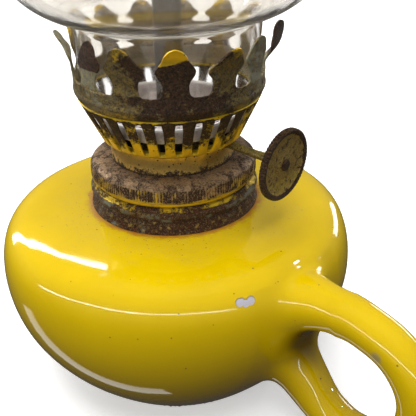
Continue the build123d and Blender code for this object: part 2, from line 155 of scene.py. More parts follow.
class LampStageSettings(bpy.types.PropertyGroup):
    lens: FloatProperty(name="Lens", description="Focal length, mm", default=60.577, subtype="NONE")
    floor: FloatVectorProperty(name="Floor", description="Floor colour", subtype="COLOR",
                               default=(0.93, 0.93, 0.93))
    light: FloatProperty(name="Light", description="Brightness of all softboxes", default=1.0)
    floor_glow: FloatProperty(name="Floor Glow", description="Keeps the far floor pale", default=0.42)
    sky: FloatProperty(name="Sky", description="Brightness of the studio round the lamp", default=0.24)
    glass_sky: FloatProperty(name="Backdrop",
                             description="Added brightness seen directly or through the glass", default=0.45)


# ---- mesh helpers ----------------------------------------------------------------------
def turned(outline, steps=160, bevel=0.0):
    """Spin an outline of (radius, height) about the lamp's axis; it closes on itself or on the axis."""
    bm = bmesh.new()
    points = [bm.verts.new((r, 0, z)) for r, z in outline]
    on_axis = outline[0][0] == 0 and outline[-1][0] == 0
    pairs = list(zip(points, points[1:]))
    if not on_axis:
        pairs.append((points[-1], points[0]))
    edges = [bm.edges.new(pair) for pair in pairs]
    bmesh.ops.spin(bm, geom=points + edges, axis=(0, 0, 1), cent=(0, 0, 0), angle=math.tau, steps=steps,
                   use_merge=True)
    bmesh.ops.remove_doubles(bm, verts=bm.verts, dist=1e-4)
    bmesh.ops.recalc_face_normals(bm, faces=bm.faces)
    if bevel:
        soften(bm, bevel)
    return bm


def soften(bm, width, limit=30):
    """Round every edge sharper than the limit."""
    sharp = [e for e in bm.edges if len(e.link_faces) == 2 and e.calc_face_angle(0) > math.radians(limit)]
    bmesh.ops.bevel(bm, geom=sharp, offset=width, offset_type="OFFSET", segments=2, profile=0.5,
                    affect="EDGES", clamp_overlap=True, material=-1)


def curve_points(start, pull_a, pull_b, end, count=12):
    """Points along a Bezier run, without its first point."""
    a, b, c, d = (Vector(p) for p in (start, pull_a, pull_b, end))
    run = []
    for step in range(1, count + 1):
        t = step / count
        point = a * (1 - t) ** 3 + b * 3 * t * (1 - t) ** 2 + c * 3 * t * t * (1 - t) + d * t ** 3
        run.append(tuple(point))
    return run


def corner(centre_r, centre_z, radius, start, end, count=5):
    """Points along a round corner, angles in degrees."""
    run = []
    for step in range(count + 1):
        angle = math.radians(start + (end - start) * step / count)
        run.append((centre_r + radius * math.cos(angle), centre_z + radius * math.sin(angle)))
    return run


def rotate(bm, matrix):
    bmesh.ops.rotate(bm, verts=bm.verts, cent=(0, 0, 0), matrix=matrix)


def linked_object(name, bm):
    """Turn the mesh into an object of the scene, in the mesh's own units."""
    mesh = bpy.data.meshes.new(name)
    bm.to_mesh(mesh)
    bm.free()
    piece = bpy.data.objects.new(name, mesh)
    bpy.context.scene.collection.objects.link(piece)
    return piece


def applied(piece):
    """The mesh of an object with its modifiers, as a bmesh; the object goes."""
    bpy.context.view_layer.update()
    evaluated = piece.evaluated_get(bpy.context.evaluated_depsgraph_get())
    bm = bmesh.new()
    bm.from_mesh(evaluated.to_mesh())
    evaluated.to_mesh_clear()
    bpy.data.objects.remove(piece)
    return bm


def cut_away(bm, tool):
    """Cut a second closed mesh out of the first; both are used up."""
    blank = linked_object("blank", bm)
    cutter = linked_object("cutter", tool)
    cut = blank.modifiers.new("Cut", "BOOLEAN")
    cut.operation = "DIFFERENCE"
    cut.solver = "EXACT"
    cut.object = cutter
    result = applied(blank)
    bpy.data.objects.remove(cutter)
    return result


def join_mesh(bm, extra):
    """Add a second mesh to the first; the second is used up."""
    spare = bpy.data.meshes.new("spare")
    extra.to_mesh(spare)
    extra.free()
    bm.from_mesh(spare)
    bpy.data.meshes.remove(spare)


def add_rod(bm, radius, depth, segments):
    """Add an upright cylinder at the origin; its vertices come back."""
    return bmesh.ops.create_cone(bm, cap_ends=True, segments=segments, radius1=radius, radius2=radius,
                                 depth=depth)["verts"]


def only(kind, items):
    return [item for item in items if isinstance(item, kind)]


def pull_in(vertex, depth):
    """Move a vertex towards the lamp's axis."""
    radius = math.hypot(vertex.co.x, vertex.co.y)
    factor = (radius - depth) / radius
    vertex.co.x *= factor
    vertex.co.y *= factor


def within_one(value):
    return min(1.0, max(0.0, value))


def finish_piece(name, bm, body, material, replaced=(), turn=0.0, smooth=35):
    """Turn the mesh into an object in metres that rides on a body and stands for CAD nodes."""
    if turn:
        rotate(bm, Matrix.Rotation(turn, 3, "Z"))
    bmesh.ops.scale(bm, verts=bm.verts, vec=(MM, MM, MM))
    piece = linked_object(name, bm)
    piece.data.shade_smooth()
    piece.data.set_sharp_from_angle(angle=math.radians(smooth))
    piece.data.materials.append(material)
    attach(piece, body)
    if replaced:
        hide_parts(*replaced)
    return piece


def dress(node, material):
    """Give a CAD node a finished material."""
    data = frame["nodes"][node].data
    data.materials.clear()
    data.materials.append(material)


def waver(point, scale, seed=0.0):
    """Smooth noise from -1 to 1 at a point in millimetres."""
    return noise.noise(Vector(point) / scale + Vector((seed, seed * 1.7, -seed)))


def paint(piece, rule):
    """Write the patina attribute: shares of bright brass, rust and verdigris, from a rule of place in mm."""
    mesh = piece.data
    layer = mesh.color_attributes.new("patina", "FLOAT_COLOR", "POINT")
    for vertex, value in zip(mesh.vertices, layer.data):
        value.color = (*rule(vertex.co / MM), 1)


# ---- shader helpers --------------------------------------------------------------------
def feed(node, inputs):
    """Link sockets to a node's inputs, or set their values."""
    for key, value in inputs.items():
        if isinstance(value, bpy.types.NodeSocket):
            node.id_data.links.new(value, node.inputs[key])
        else:
            node.inputs[key].default_value = value


def add_node(tree, kind, inputs=None, **settings):
    node = tree.nodes.new(kind)
    for key, value in settings.items():
        setattr(node, key, value)
    feed(node, inputs or {})
    return node


def maths(tree, operation, *values, clamp=False):
    inputs = dict(enumerate(values))
    return add_node(tree, "ShaderNodeMath", inputs, operation=operation, use_clamp=clamp).outputs[0]


def times(tree, a, b):
    return maths(tree, "MULTIPLY", a, b)


def scaled(tree, value, factor, offset, clamp=False):
    """The value times a factor, plus an offset."""
    return maths(tree, "MULTIPLY_ADD", value, factor, offset, clamp=clamp)


def inverse(tree, mask):
    return maths(tree, "SUBTRACT", 1.0, mask)


def highest(tree, a, b):
    return maths(tree, "MAXIMUM", a, b)


def vector_maths(tree, operation, inputs, output=0):
    return add_node(tree, "ShaderNodeVectorMath", inputs, operation=operation).outputs[output]


def mix_colour(tree, share, a, b):
    inputs = {0: share}
    for index, value in ((6, a), (7, b)):
        inputs[index] = value if isinstance(value, bpy.types.NodeSocket) else (*tuple(value)[:3], 1)
    return add_node(tree, "ShaderNodeMix", inputs, data_type="RGBA").outputs[2]


def cover(tree, colour, mask, share, second):
    """Lay a second colour over the first where the mask is 1, by a share."""
    return mix_colour(tree, times(tree, mask, share), colour, second)


def mix_value(tree, share, a, b):
    return add_node(tree, "ShaderNodeMix", {0: share, 2: a, 3: b}, data_type="FLOAT").outputs[0]


def split_axes(tree, place):
    return add_node(tree, "ShaderNodeSeparateXYZ", {0: place}).outputs


def fractal(tree, vector, scale, detail=6.0, roughness=0.6, shift=0.0):
    """Cloudy noise from 0 to 1; the shift tells one cloud from another."""
    if shift:
        vector = vector_maths(tree, "ADD", {0: vector, 1: (shift, shift * 0.7, -shift)})
    inputs = {"Vector": vector, "Scale": scale, "Detail": detail, "Roughness": roughness}
    return add_node(tree, "ShaderNodeTexNoise", inputs).outputs[0]


def smooth_range(tree, value, low, high, start=0.0, end=1.0):
    """From start to end, smoothly, while the value goes from low to high."""
    inputs = {"Value": value, "From Min": low, "From Max": high, "To Min": start, "To Max": end}
    return add_node(tree, "ShaderNodeMapRange", inputs, interpolation_type="SMOOTHSTEP").outputs[0]


def step_mask(tree, value, edge, width):
    """0 below the edge, 1 above it, with a soft step."""
    low = maths(tree, "SUBTRACT", edge, width)
    high = maths(tree, "ADD", edge, width)
    return smooth_range(tree, value, low, high)


def distance_mask(tree, place, centre, radius, width):
    """1 inside a ball, fading over its width."""
    away = vector_maths(tree, "DISTANCE", {0: place, 1: centre}, "Value")
    return inverse(tree, step_mask(tree, away, radius, width))


def place_mm(tree):
    """Object coordinates in millimetres."""
    coordinates = tree.nodes.new("ShaderNodeTexCoord").outputs["Object"]
    return vector_maths(tree, "SCALE", {0: coordinates, "Scale": 1 / MM})


def blank_material(name):
    material = bpy.data.materials.new(name)
    material.use_nodes = True
    tree = material.node_tree
    tree.nodes.clear()
    shader = add_node(tree, "ShaderNodeBsdfPrincipled")
    add_node(tree, "ShaderNodeOutputMaterial", {"Surface": shader.outputs[0]})
    return material, tree, shader


def add_bump(tree, shader, height, distance, strength=1.0):
    """Bump from a height, its distance in millimetres."""
    bump = add_node(tree, "ShaderNodeBump",
                    {"Height": height, "Distance": distance * MM, "Strength": strength})
    feed(shader, {"Normal": bump.outputs[0]})


def effect_group(name, inputs, outputs):
    """An empty node group with its sockets: the tree, its input sockets and its output node."""
    tree = bpy.data.node_groups.new(name, "ShaderNodeTree")
    for label, kind, default in inputs:
        socket = tree.interface.new_socket(name=label, in_out="INPUT", socket_type="NodeSocket" + kind)
        if default is not None:
            socket.default_value = default
    for label, kind in outputs:
        tree.interface.new_socket(name=label, in_out="OUTPUT", socket_type="NodeSocket" + kind)
    return tree, tree.nodes.new("NodeGroupInput").outputs, tree.nodes.new("NodeGroupOutput")


def use_group(tree, name, inputs):
    return add_node(tree, "ShaderNodeGroup", inputs, node_tree=bpy.data.node_groups[name]).outputs


def small_pits(tree, place, scale, amount):
    return use_group(tree, "Small Pits", {"Vector": place, "Scale": scale, "Amount": amount})["Mask"]


def pits_group():
    """Mask of small round pits, one to some of the cells."""
    inputs = [("Vector", "Vector", None), ("Scale", "Float", 1.0), ("Amount", "Float", 0.3)]
    tree, source, result = effect_group("Small Pits", inputs, [("Mask", "Float")])
    cells = add_node(tree, "ShaderNodeTexVoronoi",
                     {"Vector": source["Vector"], "Scale": source["Scale"]}).outputs
    chance = add_node(tree, "ShaderNodeSeparateColor", {0: cells["Color"]}).outputs[0]
    here = maths(tree, "LESS_THAN", chance, source["Amount"])
    size = scaled(tree, chance, 0.5, 0.07)
    dot = inverse(tree, step_mask(tree, cells["Distance"], size, 0.04))
    feed(result, {"Mask": times(tree, here, dot)})


# kind of patina, with the scale, the shift and the soft edge of its clouds
PATINA_CLOUDS = (("Bright", 0.42, 11.0, 0.045), ("Rust", 0.38, 27.0, 0.055), ("Verdigris", 0.55, 43.0, 0.06))


def aged_metal_group(metal):
    """Old brass with bright patches, rust, verdigris and pits, and glints painted as small pale highlights.
    """
    shares = {"Bright": 0.2, "Rust": 0.3, "Verdigris": 0.1, "Grain": 1.0, "Sparks": 0.2, "Pitting": 0.22,
              "Metal": 0.66, "Mottle": 0.5}
    colours = {"Old Brass": metal.olive, "Bright Brass": metal.bright, "Dark Rust": metal.rust,
               "Red Rust": metal.red_rust, "Bloom": metal.verdigris}
    inputs = [("Vector", "Vector", None)]
    inputs += [(label, "Float", value) for label, value in shares.items()]
    inputs += [(label, "Color", (*value, 1)) for label, value in colours.items()]
    outputs = [("Color", "Color"), ("Roughness", "Float"), ("Metallic", "Float"), ("Height", "Float")]
    tree, source, result = effect_group("Aged Metal", inputs, outputs)
    own = source["Vector"]
    place = vector_maths(tree, "SCALE", {0: own, "Scale": source["Grain"]})
    fine = fractal(tree, place, 1.6, 8, 0.72, 3.1)
    masks = []
    for label, scale, shift, width in PATINA_CLOUDS:
        blend = mix_value(tree, 0.38, fractal(tree, place, scale, 9, 0.68, shift), fine)
        masks.append(step_mask(tree, blend, scaled(tree, source[label], -0.42, 0.71), width))
    bright, rusty, green = masks
    tone = step_mask(tree, fractal(tree, place, 0.9, 5, 0.6, 5.0), 0.5, 0.12)
    streak = step_mask(tree, fractal(tree, own, 1.7, 4, 0.65, 9.0), 0.53, 0.06)
    reddened = step_mask(tree, fractal(tree, place, 1.2, 6, 0.65, 61.0), 0.52, 0.16)
    sparks = step_mask(tree, fractal(tree, own, 2.1, 3, 0.6, 71.0), 0.60, 0.04)
    # painted highlight: small glints, scaled by the Sparks share, get a pale colour as well as a low
    # roughness
    glint_highlights = step_mask(tree, fractal(tree, own, 3.4, 2, 0.6, 91.0), 0.67, 0.02)
    glint_highlights = times(tree, glint_highlights, source["Sparks"])
    pits = small_pits(tree, place, 0.75, source["Pitting"])
    warmer = mix_colour(tree, 0.2, source["Old Brass"], source["Bright Brass"])
    old = mix_colour(tree, tone, source["Old Brass"], warmer)
    old = cover(tree, old, streak, source["Mottle"], source["Dark Rust"])
    rust = mix_colour(tree, reddened, source["Dark Rust"], source["Red Rust"])
    rust = cover(tree, rust, sparks, source["Sparks"], source["Old Brass"])
    colour = mix_colour(tree, bright, old, source["Bright Brass"])
    colour = mix_colour(tree, rusty, colour, rust)
    colour = cover(tree, colour, green, 0.65, source["Bloom"])
    # painted highlight: the pale colour of the glints
    colour = cover(tree, colour, glint_highlights, 0.8, (0.80, 0.66, 0.42))
    colour = mix_colour(tree, pits, colour, source["Dark Rust"])
    rough = mix_value(tree, bright, scaled(tree, fine, 0.3, 0.26), 0.3)
    rough = mix_value(tree, rusty, rough, scaled(tree, fine, 0.25, 0.62))
    rough = mix_value(tree, green, rough, 0.8)
    rough = mix_value(tree, glint_highlights, rough, 0.16)
    dull = highest(tree, times(tree, rusty, 0.8), green)
    height = scaled(tree, rusty, times(tree, fine, 0.8), times(tree, fine, 0.35))
    height = maths(tree, "SUBTRACT", height, times(tree, pits, 0.5))
    feed(result, {"Color": colour, "Roughness": rough, "Metallic": scaled(tree, dull, -0.6, source["Metal"]),
                  "Height": height})


# ---- materials -------------------------------------------------------------------------
def metal_material(name, shares=None, relief=0.25, colours=None, **settings):
    """Aged brass: its shares come from the patina attribute, or are the same all over."""
    material, tree, shader = blank_material(name)
    if shares is None:
        patina = add_node(tree, "ShaderNodeAttribute", attribute_name="patina").outputs["Color"]
        shares = add_node(tree, "ShaderNodeSeparateColor", {0: patina}).outputs
    inputs = {"Vector": place_mm(tree)}
    inputs.update(zip(("Bright", "Rust", "Verdigris"), shares))
    inputs.update((label.title(), value) for label, value in settings.items())
    inputs.update((label, (*value, 1)) for label, value in (colours or {}).items())
    aged = use_group(tree, "Aged Metal", inputs)
    feed(shader, {"Base Color": aged["Color"], "Roughness": aged["Roughness"], "Metallic": aged["Metallic"]})
    add_bump(tree, shader, aged["Height"], relief)
    return material


# centre and radius of each bite of the chip in the font's shoulder
CHIP = (((54.9, -23.2, 56.7), 1.25), ((55.7, -21.6, 56.1), 1.2), ((56.2, -19.8, 56.4), 1.3),
        ((55.2, -22.4, 57.3), 0.9))


def chip_mask(tree, place, margin, width):
    """1 inside the chip, grown by a margin."""
    mask = 0.0
    for centre, size in CHIP:
        mask = highest(tree, mask, distance_mask(tree, place, centre, size + margin, width))
    return mask


def glaze_material(glaze):
    """Glossy yellow glaze with pits, a stain round the collar, dust and a chip, with painted shade towards
    the foot and in the fork of the handle.
    """
    material, tree, shader = blank_material("Yellow Glaze")
    place = place_mm(tree)
    along, across, height = split_axes(tree, place)
    flat = add_node(tree, "ShaderNodeCombineXYZ", {"X": along, "Y": across}).outputs[0]
    radius = vector_maths(tree, "LENGTH", {0: flat}, "Value")
    crown = step_mask(tree, height, SEAT_Z - 6, 1.0)
    cloud = fractal(tree, place, 0.045, 5, 0.55)
    colour = cover(tree, glaze.colour, step_mask(tree, cloud, 0.52, 0.14), 0.08, glaze.mottle_and_shade_colour)
    # painted shade: the glaze is darkened towards the foot, but less so on the handle
    low = smooth_range(tree, scaled(tree, cloud, 8.0, height), 4.0, 58.0, 1.0, 0.0)
    low = times(tree, low, scaled(tree, step_mask(tree, along, 64.0, 8.0), -0.75, 1.0))
    colour = mix_colour(tree, low, colour, glaze.mottle_and_shade_colour)
    stain_edge = scaled(tree, fractal(tree, place, 0.35, 7, 0.65, 4.0), 6.0, COLLAR_R - 1.6)
    stain = times(tree, inverse(tree, step_mask(tree, radius, stain_edge, 1.5)), crown)
    colour = cover(tree, colour, stain, 0.85, (0.38, 0.105, 0.008))
    dust_edge = scaled(tree, fractal(tree, place, 0.09, 5, 0.6, 8.0), 34.0, COLLAR_R - 4.0)
    dust = times(tree, inverse(tree, step_mask(tree, radius, dust_edge, 5.0)), crown)
    speckle = step_mask(tree, fractal(tree, place, 1.3, 6, 0.7, 12.0), 0.5, 0.1)
    colour = cover(tree, colour, times(tree, dust, speckle), 0.13, (0.40, 0.32, 0.15))
    zone = inverse(tree, step_mask(tree, radius, maths(tree, "SUBTRACT", dust_edge, 2.0), 6.0))
    specks = times(tree, small_pits(tree, place, 1.1, 0.3), times(tree, zone, crown))
    pits = highest(tree, small_pits(tree, place, 0.42, 0.12), specks)
    colour = cover(tree, colour, pits, 0.8, (0.16, 0.09, 0.02))
    colour = cover(tree, colour, chip_mask(tree, place, 0.3, 0.2), 0.6, (0.50, 0.36, 0.06))
    chip = chip_mask(tree, place, 0.0, 0.12)
    colour = mix_colour(tree, chip, colour, glaze.chip_colour)
    # painted shade: the fork between the handle's arms is darkened where it lies in shade
    fork_shade = distance_mask(tree, place, (63.5, -1.0, 35.5), 8.5, 5.0)
    colour = cover(tree, colour, fork_shade, 0.85, glaze.fork_shade_colour)
    mark = distance_mask(tree, place, (91.5, -6.8, 48.0), 1.6, 0.9)
    colour = cover(tree, colour, mark, 0.65, (0.25, 0.22, 0.15))
    rough = scaled(tree, chip, 0.6, scaled(tree, stain, 0.36, 0.07))
    feed(shader, {"Base Color": colour, "Roughness": rough, "IOR": 1.62})
    relief = times(tree, fractal(tree, place, 0.10, 2, 0.4, 2.0), 0.11)
    relief = scaled(tree, fractal(tree, place, 1.4, 2, 0.5, 7.0), 0.010, relief)
    # tilts the shading round the collar inwards, which keeps a second bright reflection off the crown
    relief = maths(tree, "ADD", relief, smooth_range(tree, radius, 29.0, 47.0, -1.2, 0.0))
    relief = maths(tree, "SUBTRACT", relief, times(tree, chip, 0.5))
    relief = maths(tree, "SUBTRACT", relief, times(tree, pits, 0.12))
    add_bump(tree, shader, relief, 0.5)
    return material


def plaster_material():
    """Rough plaster that holds the collar."""
    material, tree, shader = blank_material("Plaster")
    grain = fractal(tree, place_mm(tree), 1.2, 8, 0.7)
    colour = mix_colour(tree, grain, (0.42, 0.36, 0.27), (0.66, 0.60, 0.50))
    feed(shader, {"Base Color": colour, "Roughness": 0.9})
    add_bump(tree, shader, grain, 0.4)
    return material


def glass_material(glass):
    """Clear glass, a little smeared and rippled."""
    material, tree, shader = blank_material("Chimney Glass")
    place = place_mm(tree)
    smear = step_mask(tree, fractal(tree, place, 0.12, 7, 0.7), 0.55, 0.12)
    feed(shader, {"Base Color": (*glass.tint, 1), "Roughness": scaled(tree, smear, 0.05, 0.05), "IOR": 1.5,
                  "Transmission Weight": 1.0})
    add_bump(tree, shader, fractal(tree, place, 0.05, 2, 0.5, 3.0), 0.5, 0.6)
    return material


def dust_material(glass):
    """Thin film of dust on the glass; along the bend it is denser and near-white, a painted highlight for the
    reflection there.
    """
    material, tree, shader = blank_material("Chimney Dust")
    place = place_mm(tree)
    height = split_axes(tree, place)[2]
    cloud = fractal(tree, place, 0.10, 7, 0.7, 5.0)
    # painted highlight: a narrow band along the bend of the glass
    bend = maths(tree, "ABSOLUTE", maths(tree, "SUBTRACT", height, CHIMNEY_LOW + 24.6))
    bend_highlight = inverse(tree, step_mask(tree, bend, 0.75, 0.55))
    high = smooth_range(tree, height, CHIMNEY_LOW + 26.0, CHIMNEY_LOW + 62.0, 0.12, 0.03)
    neck = step_mask(tree, height, CHIMNEY_LOW + 23.0, 1.5)
    film = times(tree, scaled(tree, cloud, 1.6, 0.2), high)
    film = times(tree, film, scaled(tree, neck, 0.45, 0.55))
    colour = mix_colour(tree, neck, glass.low_dust, glass.dust)
    # painted highlight: near-white along the bend
    colour = mix_colour(tree, bend_highlight, colour, (0.95, 0.94, 0.90))
    feed(shader, {"Base Color": colour, "Alpha": scaled(tree, bend_highlight, 0.45, film, clamp=True), "Roughness": 0.6,
                  "Specular IOR Level": 0.2})
    return material


def threads(tree, place, direction, scale, distortion):
    """Waves that stand for the threads along one direction of the weave."""
    inputs = {"Vector": place, "Scale": scale, "Distortion": distortion, "Detail Scale": 2.0}
    return add_node(tree, "ShaderNodeTexWave", inputs, bands_direction=direction).outputs[1]


def cotton_material():
    """Woven cotton, charred towards its top."""
    material, tree, shader = blank_material("Wick Cotton")
    place = place_mm(tree)
    weave = times(tree, threads(tree, place, "X", 0.55, 1.5), threads(tree, place, "Z", 0.9, 1.0))
    ragged = scaled(tree, fractal(tree, place, 0.8), 3.0, split_axes(tree, place)[2])
    char = step_mask(tree, ragged, WICK_HIGH - 1.5, 1.6)
    colour = mix_colour(tree, weave, (0.55, 0.49, 0.38), (0.78, 0.72, 0.60))
    colour = mix_colour(tree, char, colour, (0.018, 0.015, 0.013))
    feed(shader, {"Base Color": colour, "Roughness": 0.92})
    add_bump(tree, shader, weave, 0.4)
    return material


def pan_material():
    """Pale dusty aluminium with a bright rim."""
    material, tree, shader = blank_material("Pan Metal")
    place = place_mm(tree)
    cloud = fractal(tree, place, 0.5, 8, 0.7)
    rim = step_mask(tree, split_axes(tree, place)[2], PAN_TOP - 0.9, 0.25)
    colour = mix_colour(tree, step_mask(tree, cloud, 0.5, 0.12), (0.62, 0.56, 0.54), (0.40, 0.36, 0.34))
    colour = mix_colour(tree, rim, colour, (0.92, 0.90, 0.88))
    feed(shader, {"Base Color": colour, "Metallic": 0.25, "Roughness": scaled(tree, cloud, 0.3, 0.35)})
    add_bump(tree, shader, cloud, 0.15)
    return material


# ---- the ceramic font and its handle ----------------------------------------------------
def bowl_side(glaze, inset):
    """Side of the bowl from its foot over the belly to the flat crown."""
    belly = FONT_R - inset
    foot = glaze.foot_radius - inset
    low = FONT_LOW if inset == 0 else FLOOR_INSIDE
    top = SEAT_Z if inset == 0 else SEAT_Z - glaze.wall
    shoulder = (glaze.shoulder_radius - inset, top - glaze.crown_drop)
    seat = (31 - inset, top)
    slope = glaze.crown_drop / (shoulder[0] - seat[0])
    widest = (belly, glaze.belly_height)
    side = [(foot, low)]
    side += curve_points((foot, low), (foot + 14, low + 13), (belly, glaze.belly_height - 16), widest, 24)
    side += curve_points(widest, (belly, glaze.belly_height + 12),
                         (shoulder[0] + 8.5, shoulder[1] - 8.5 * slope), shoulder, 20)
    return side + [seat]


def handle_mesh():
    """Round loop along a smooth spline, thick at its roots, as a closed mesh."""
    reach = FONT_R + 41.5
    top, low, thin = 51.0, 8.2, 7.0
    half = (top - low) / 2
    bow = half * math.sqrt(0.5)
    middle = (top + low) / 2
    # distance from the axis, height and radius of the loop's section
    route = [(50.0, 44.5, 11.5), (57.0, 47.5, 11.0), (64.0, 49.6, 9.6), (72.0, 50.9, 7.7),
             (reach - half, top, thin), (reach - half + bow, middle + bow, thin), (reach, middle, thin),
             (reach - half + bow, middle - bow, thin), (reach - half, low, 7.1), (75.0, 9.2, 7.3),
             (68.0, 13.4, 8.2), (60.0, 20.6, 9.4), (52.0, 27.0, 10.0)]
    data = bpy.data.curves.new("handle_route", "CURVE")
    data.dimensions = "3D"
    data.bevel_depth = 1.0
    data.bevel_resolution = 8
    data.resolution_u = 16
    data.use_fill_caps = True
    spline = data.splines.new("BEZIER")
    spline.bezier_points.add(len(route) - 1)
    for point, (x, z, radius) in zip(spline.bezier_points, route):
        point.co = (x, 0, z)
        point.radius = radius
        point.handle_left_type = point.handle_right_type = "AUTO"
    carrier = bpy.data.objects.new("handle_route", data)
    bpy.context.scene.collection.objects.link(carrier)
    bpy.context.view_layer.update()
    mesh = bpy.data.meshes.new_from_object(carrier.evaluated_get(bpy.context.evaluated_depsgraph_get()))
    bpy.data.objects.remove(carrier)
    bm = bmesh.new()
    bm.from_mesh(mesh)
    bpy.data.meshes.remove(mesh)
    bmesh.ops.remove_doubles(bm, verts=bm.verts, dist=1e-3)
    bmesh.ops.recalc_face_normals(bm, faces=bm.faces)
    return bm


def smooth_over(bm, verts, passes):
    for _ in range(passes):
        bmesh.ops.smooth_vert(bm, verts=verts, factor=0.5, use_axis_x=True, use_axis_y=True, use_axis_z=True)


class LAMP_OT_font(bpy.types.Operator):
    """Model the glazed font with its finger handle"""
    bl_idname = "lamp.font"
    bl_label = "Font and Handle"

    def execute(self, context):
        glaze = context.scene.lamp_glaze
        neck, bore = 24.0, 20.5
        outline = [(0, FONT_LOW)] + bowl_side(glaze, 0) + [(neck, SEAT_Z), (neck, NECK_TOP), (0, NECK_TOP)]
        solid = turned(outline, 144)
        join_mesh(solid, handle_mesh())
        body = linked_object("ceramic_blank", solid)
        remesh = body.modifiers.new("Blend", "REMESH")
        remesh.mode = "VOXEL"
        remesh.voxel_size = 1.05
        casting = applied(body)
        self.blend_roots(casting, glaze)
        clear = NECK_TOP + 5
        hollow = [(0, FLOOR_INSIDE)] + bowl_side(glaze, glaze.wall)
        hollow += [(bore, SEAT_Z - glaze.wall), (bore, clear), (0, clear)]
        casting = cut_away(casting, turned(hollow, 96))
        finish_piece("glazed_font", casting, "font", glaze_material(glaze),
                     ("font_body", "font_shoulder", "finger_handle"), smooth=50)
        dress("neck_cement", plaster_material())
        return {"FINISHED"}

    def blend_roots(self, bm, glaze):
        """Smooth the whole casting a little, and the handle's roots until they flow into the bowl."""
        loose = [v for v in bm.verts if math.hypot(v.co.x, v.co.y) >= 33 or v.co.z <= SEAT_Z - 3]
        smooth_over(bm, loose, 6)
        roots = [v for v in loose if 50 < v.co.x < 76 and abs(v.co.y) < 20 and v.co.z < 58]
        smooth_over(bm, roots, glaze.web_smoothing)
        bm.normal_update()
        for vertex in loose:
            share = within_one((math.hypot(vertex.co.x, vertex.co.y) - 31) / 10) * within_one(vertex.co.z / 8)
            vertex.co += vertex.normal * share * (0.28 * waver(vertex.co, 26, 2.0) - 0.2)
        for vertex in bm.verts:
            if vertex.co.z < 0.6:
                vertex.co.z = FONT_LOW


# ---- collar, washer and burner body -----------------------------------------------------
def dent(bm, amount, scale, seed, low=-1e9, high=1e9):
    """Small unevenness of handled sheet metal, along each normal."""
    bm.normal_update()
    for vertex in bm.verts:
        if low < vertex.co.z < high:
            vertex.co += vertex.normal * amount * waver(vertex.co, scale, seed)


class LAMP_OT_collar(bpy.types.Operator):
    """Model the rusted collar and the bright washer in the groove above it"""
    bl_idname = "lamp.collar"
    bl_label = "Collar and Washer"

    def execute(self, context):
        wall = COLLAR_R - 0.8
        inside = wall - 1.0
        bore = 22.9
        thread = bore + 0.9
        low, top = SEAT_Z, COLLAR_TOP
        outline = [(wall - 0.7, low + 0.02), (COLLAR_R - 0.1, low + 0.02)]
        outline += corner(COLLAR_R - 0.35, low + 0.4, 0.35, -60, 60)
        outline += [(wall + 0.42 - 0.04 * step, low + 1.1 + 0.34 * step) for step in range(7)]
        outline += [(wall - 0.15, low + 3.6), (wall - 0.4, low + 4.0), (wall - 0.5, low + 4.5),
                    (wall - 0.4, low + 4.9)]
        outline += corner(wall - 0.5, top - 2.45, 1.2, -75, 70, 12)
        outline += [(wall - 0.35, top - 1.05), (wall - 0.6, top - 0.3), (inside, top - 0.05),
                    (bore + 0.8, top),
                    (bore, top - 0.1), (bore, top - 5.3), (thread, top - 5.3), (thread, top - 0.85),
                    (inside, top - 0.85), (inside, low + 0.8)]
        bm = turned(outline, 360)
        dent(bm, 0.14, 5.0, 4.0, low + 0.6, top - 0.4)
        dent(bm, 0.34, 1.6, 8.0, low + 0.9, low + 6.4)
        brass = metal_material("Collar Brass", grain=1.3, relief=0.6, sparks=0.5, colours={
            "Red Rust": (0.110, 0.034, 0.013), "Old Brass": (0.36, 0.25, 0.09)})
        piece = finish_piece("threaded_collar", bm, "font", brass, ("font_collar",))

        def rule(co):
            height = co.z - low
            edge = waver(co, 6, 1.0) * 0.5
            if height > 7.6 + edge * 0.6:
                return 0.80, 0.46 + waver(co, 7, 2.0) * 0.5, 0.05
            if height > 5.8:
                return 0.30, 0.70 + edge * 0.8, 0.42 + waver(co, 5, 6.0)
            if height > 4.2:
                return 0.20, 0.78 + edge * 0.6, 0.30 + waver(co, 3, 2.0) * 0.8
            bright = 0.22 + max(0, waver(co, 1.6, 9.0)) * 0.5
            return bright, 0.74 + waver(co, 1.3, 5.0) * 0.5, 0.08 + max(0, -waver(co, 5, 4.0)) * 0.7
        paint(piece, rule)
        hole = 23.2
        outline = [(hole, WASHER_LOW), (WASHER_R, WASHER_LOW), (WASHER_R, WASHER_TOP), (hole, WASHER_TOP)]
        finish_piece("burner_gasket", turned(outline, 160, 0.25), "washer",
                     metal_material("Washer Brass", (0.9, 0.25, 0.1)), ("burner_washer",))
        return {"FINISHED"}


